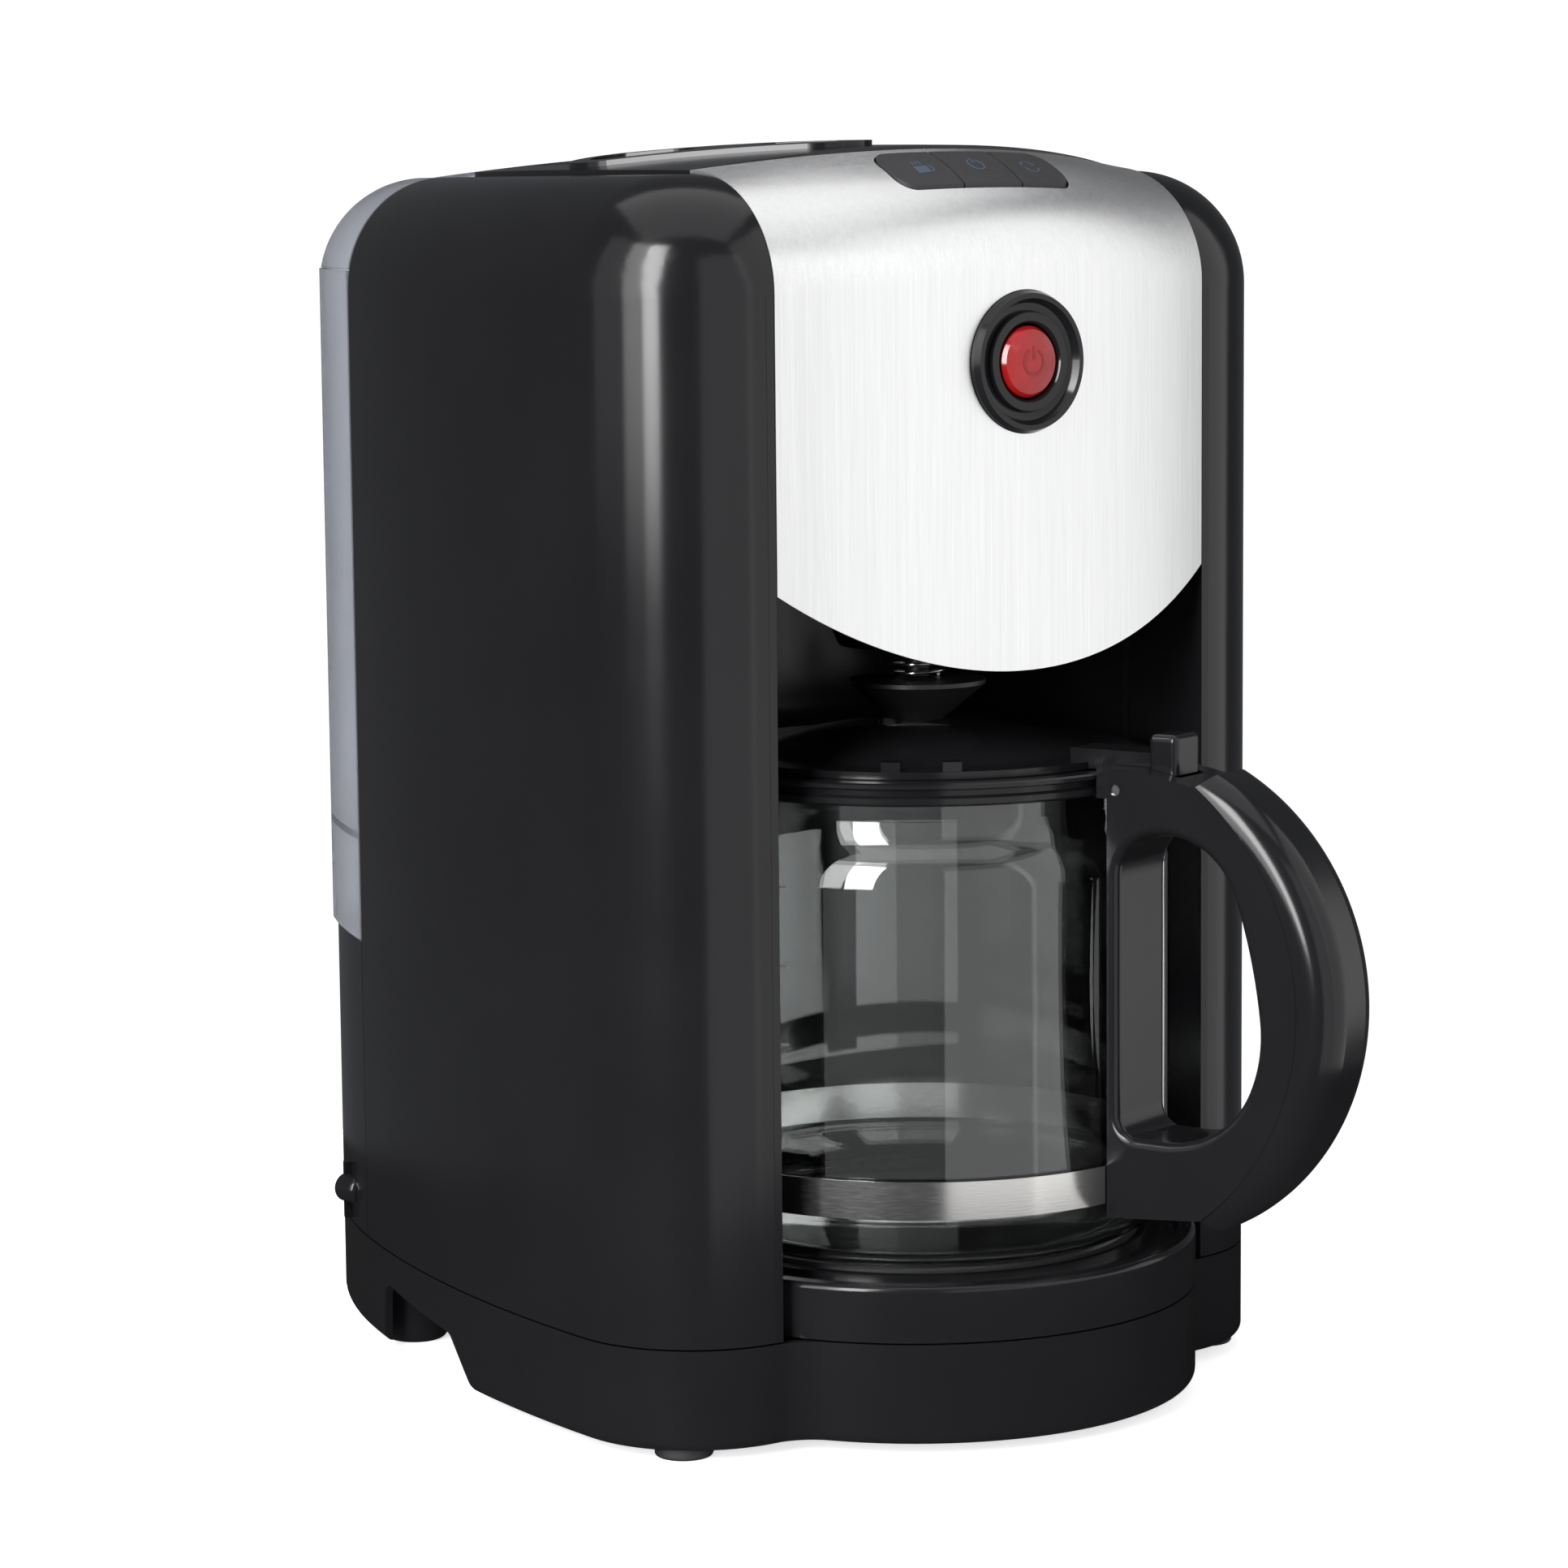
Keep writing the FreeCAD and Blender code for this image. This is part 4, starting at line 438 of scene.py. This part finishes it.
# %% Floor
bpy.ops.object.select_all(action="DESELECT")
bpy.ops.mesh.primitive_circle_add(vertices=128, radius=0.38, fill_type="NGON", location=(0, 0, 0))
floor = bpy.context.object
floor.name = "studio_floor"
pale_floor = Finish("pale floor", **{"Emission Color": (1, 1, 1, 1), "Emission Strength": 0.7})
mottle = pale_floor.noise(0.4, detail=2.0)
pale_floor.shade(mottle, (0.93, 0.93, 0.93), (0.96, 0.96, 0.96))
pale_floor.rough(0.30 + 0.05 * mottle)
rays = pale_floor.node("ShaderNodeLightPath", {}, {})
unlit = pale_floor.node("ShaderNodeBsdfDiffuse", {}, {"Color": (0.02, 0.02, 0.02, 1)})
either = pale_floor.node("ShaderNodeMixShader", {}, {
    0: rays.outputs["Is Glossy Ray"], 1: pale_floor.surface.outputs[0], 2: unlit.outputs[0]})
pale_floor.join(either.outputs[0], pale_floor.output.inputs["Surface"])
floor.data.materials.append(pale_floor.material)


# %% Lights
camera_bearing = 231.8        # degrees from +X, where the camera stands


def soft_box(name, turn, distance, size, middle, radiance):
    """A rectangular area light, turn degrees to the right of the camera, facing the machine."""
    bearing = math.radians(camera_bearing + turn)
    place = Vector((distance * math.cos(bearing), distance * math.sin(bearing), middle))
    data = bpy.data.lights.new(name, "AREA")
    data.shape = "RECTANGLE"
    data.size, data.size_y = size
    data.energy = math.pi * size[0] * size[1] * radiance
    lamp = bpy.data.objects.new(name, data)
    bpy.context.scene.collection.objects.link(lamp)
    lamp.location = place
    lamp.rotation_euler = (Vector((0, 0, 0.2)) - place).to_track_quat("-Z", "Y").to_euler()
    return lamp


soft_box("left box", -27, 1.5, (0.38, 1.5), 0.85, 22.0)
soft_box("left fade", -42, 1.5, (0.42, 1.5), 0.85, 6.5)
soft_box("left far fade", -64, 1.5, (0.70, 1.5), 0.85, 0.8)
soft_box("right box", 31, 1.6, (1.2, 3.0), 0.1, 0.9)
soft_box("panel box", 82, 2.0, (2.6, 3.6), 0.55, 1.12)
soft_box("ceiling box", 0, 0.02, (2.4, 2.4), 2.2, 1.15)

world = bpy.data.worlds.new("studio")
bpy.context.scene.world = world
world.use_nodes = True
room = world.node_tree
room.nodes.clear()
rays = room.nodes.new("ShaderNodeLightPath")
seen = room.nodes.new("ShaderNodeMath")
seen.operation = "MAXIMUM"
room.links.new(rays.outputs["Is Camera Ray"], seen.inputs[0])
room.links.new(rays.outputs["Is Transmission Ray"], seen.inputs[1])
dark = room.nodes.new("ShaderNodeBackground")
dark.inputs["Color"].default_value = (0.9, 0.93, 1.0, 1)
dark.inputs["Strength"].default_value = 0.10
white = room.nodes.new("ShaderNodeBackground")
white.inputs["Strength"].default_value = 1.05
white.inputs["Color"].default_value = (1, 1, 1, 1)
choice = room.nodes.new("ShaderNodeMixShader")
room.links.new(seen.outputs[0], choice.inputs[0])
room.links.new(dark.outputs[0], choice.inputs[1])
room.links.new(white.outputs[0], choice.inputs[2])
room_out = room.nodes.new("ShaderNodeOutputWorld")
room.links.new(choice.outputs[0], room_out.inputs["Surface"])
bpy.context.scene.view_settings.view_transform = "Standard"

# %% Camera
view_right = math.radians(38.18)
view_down = math.radians(7.36)
view_roll = math.radians(-0.54)
camera_data = bpy.data.cameras.new("camera")
camera_data.lens = 106.66
camera_data.sensor_width = 36.0
camera = bpy.data.objects.new("camera", camera_data)
bpy.context.scene.collection.objects.link(camera)
camera.location = (-0.8271, -1.0321, 0.3394)
aim = Euler((math.pi / 2 - view_down, 0, -view_right)).to_matrix()
camera.rotation_euler = (aim @ Matrix.Rotation(view_roll, 3, "Z")).to_euler()
bpy.context.scene.camera = camera
print("camera at", [round(c, 3) for c in camera.location])
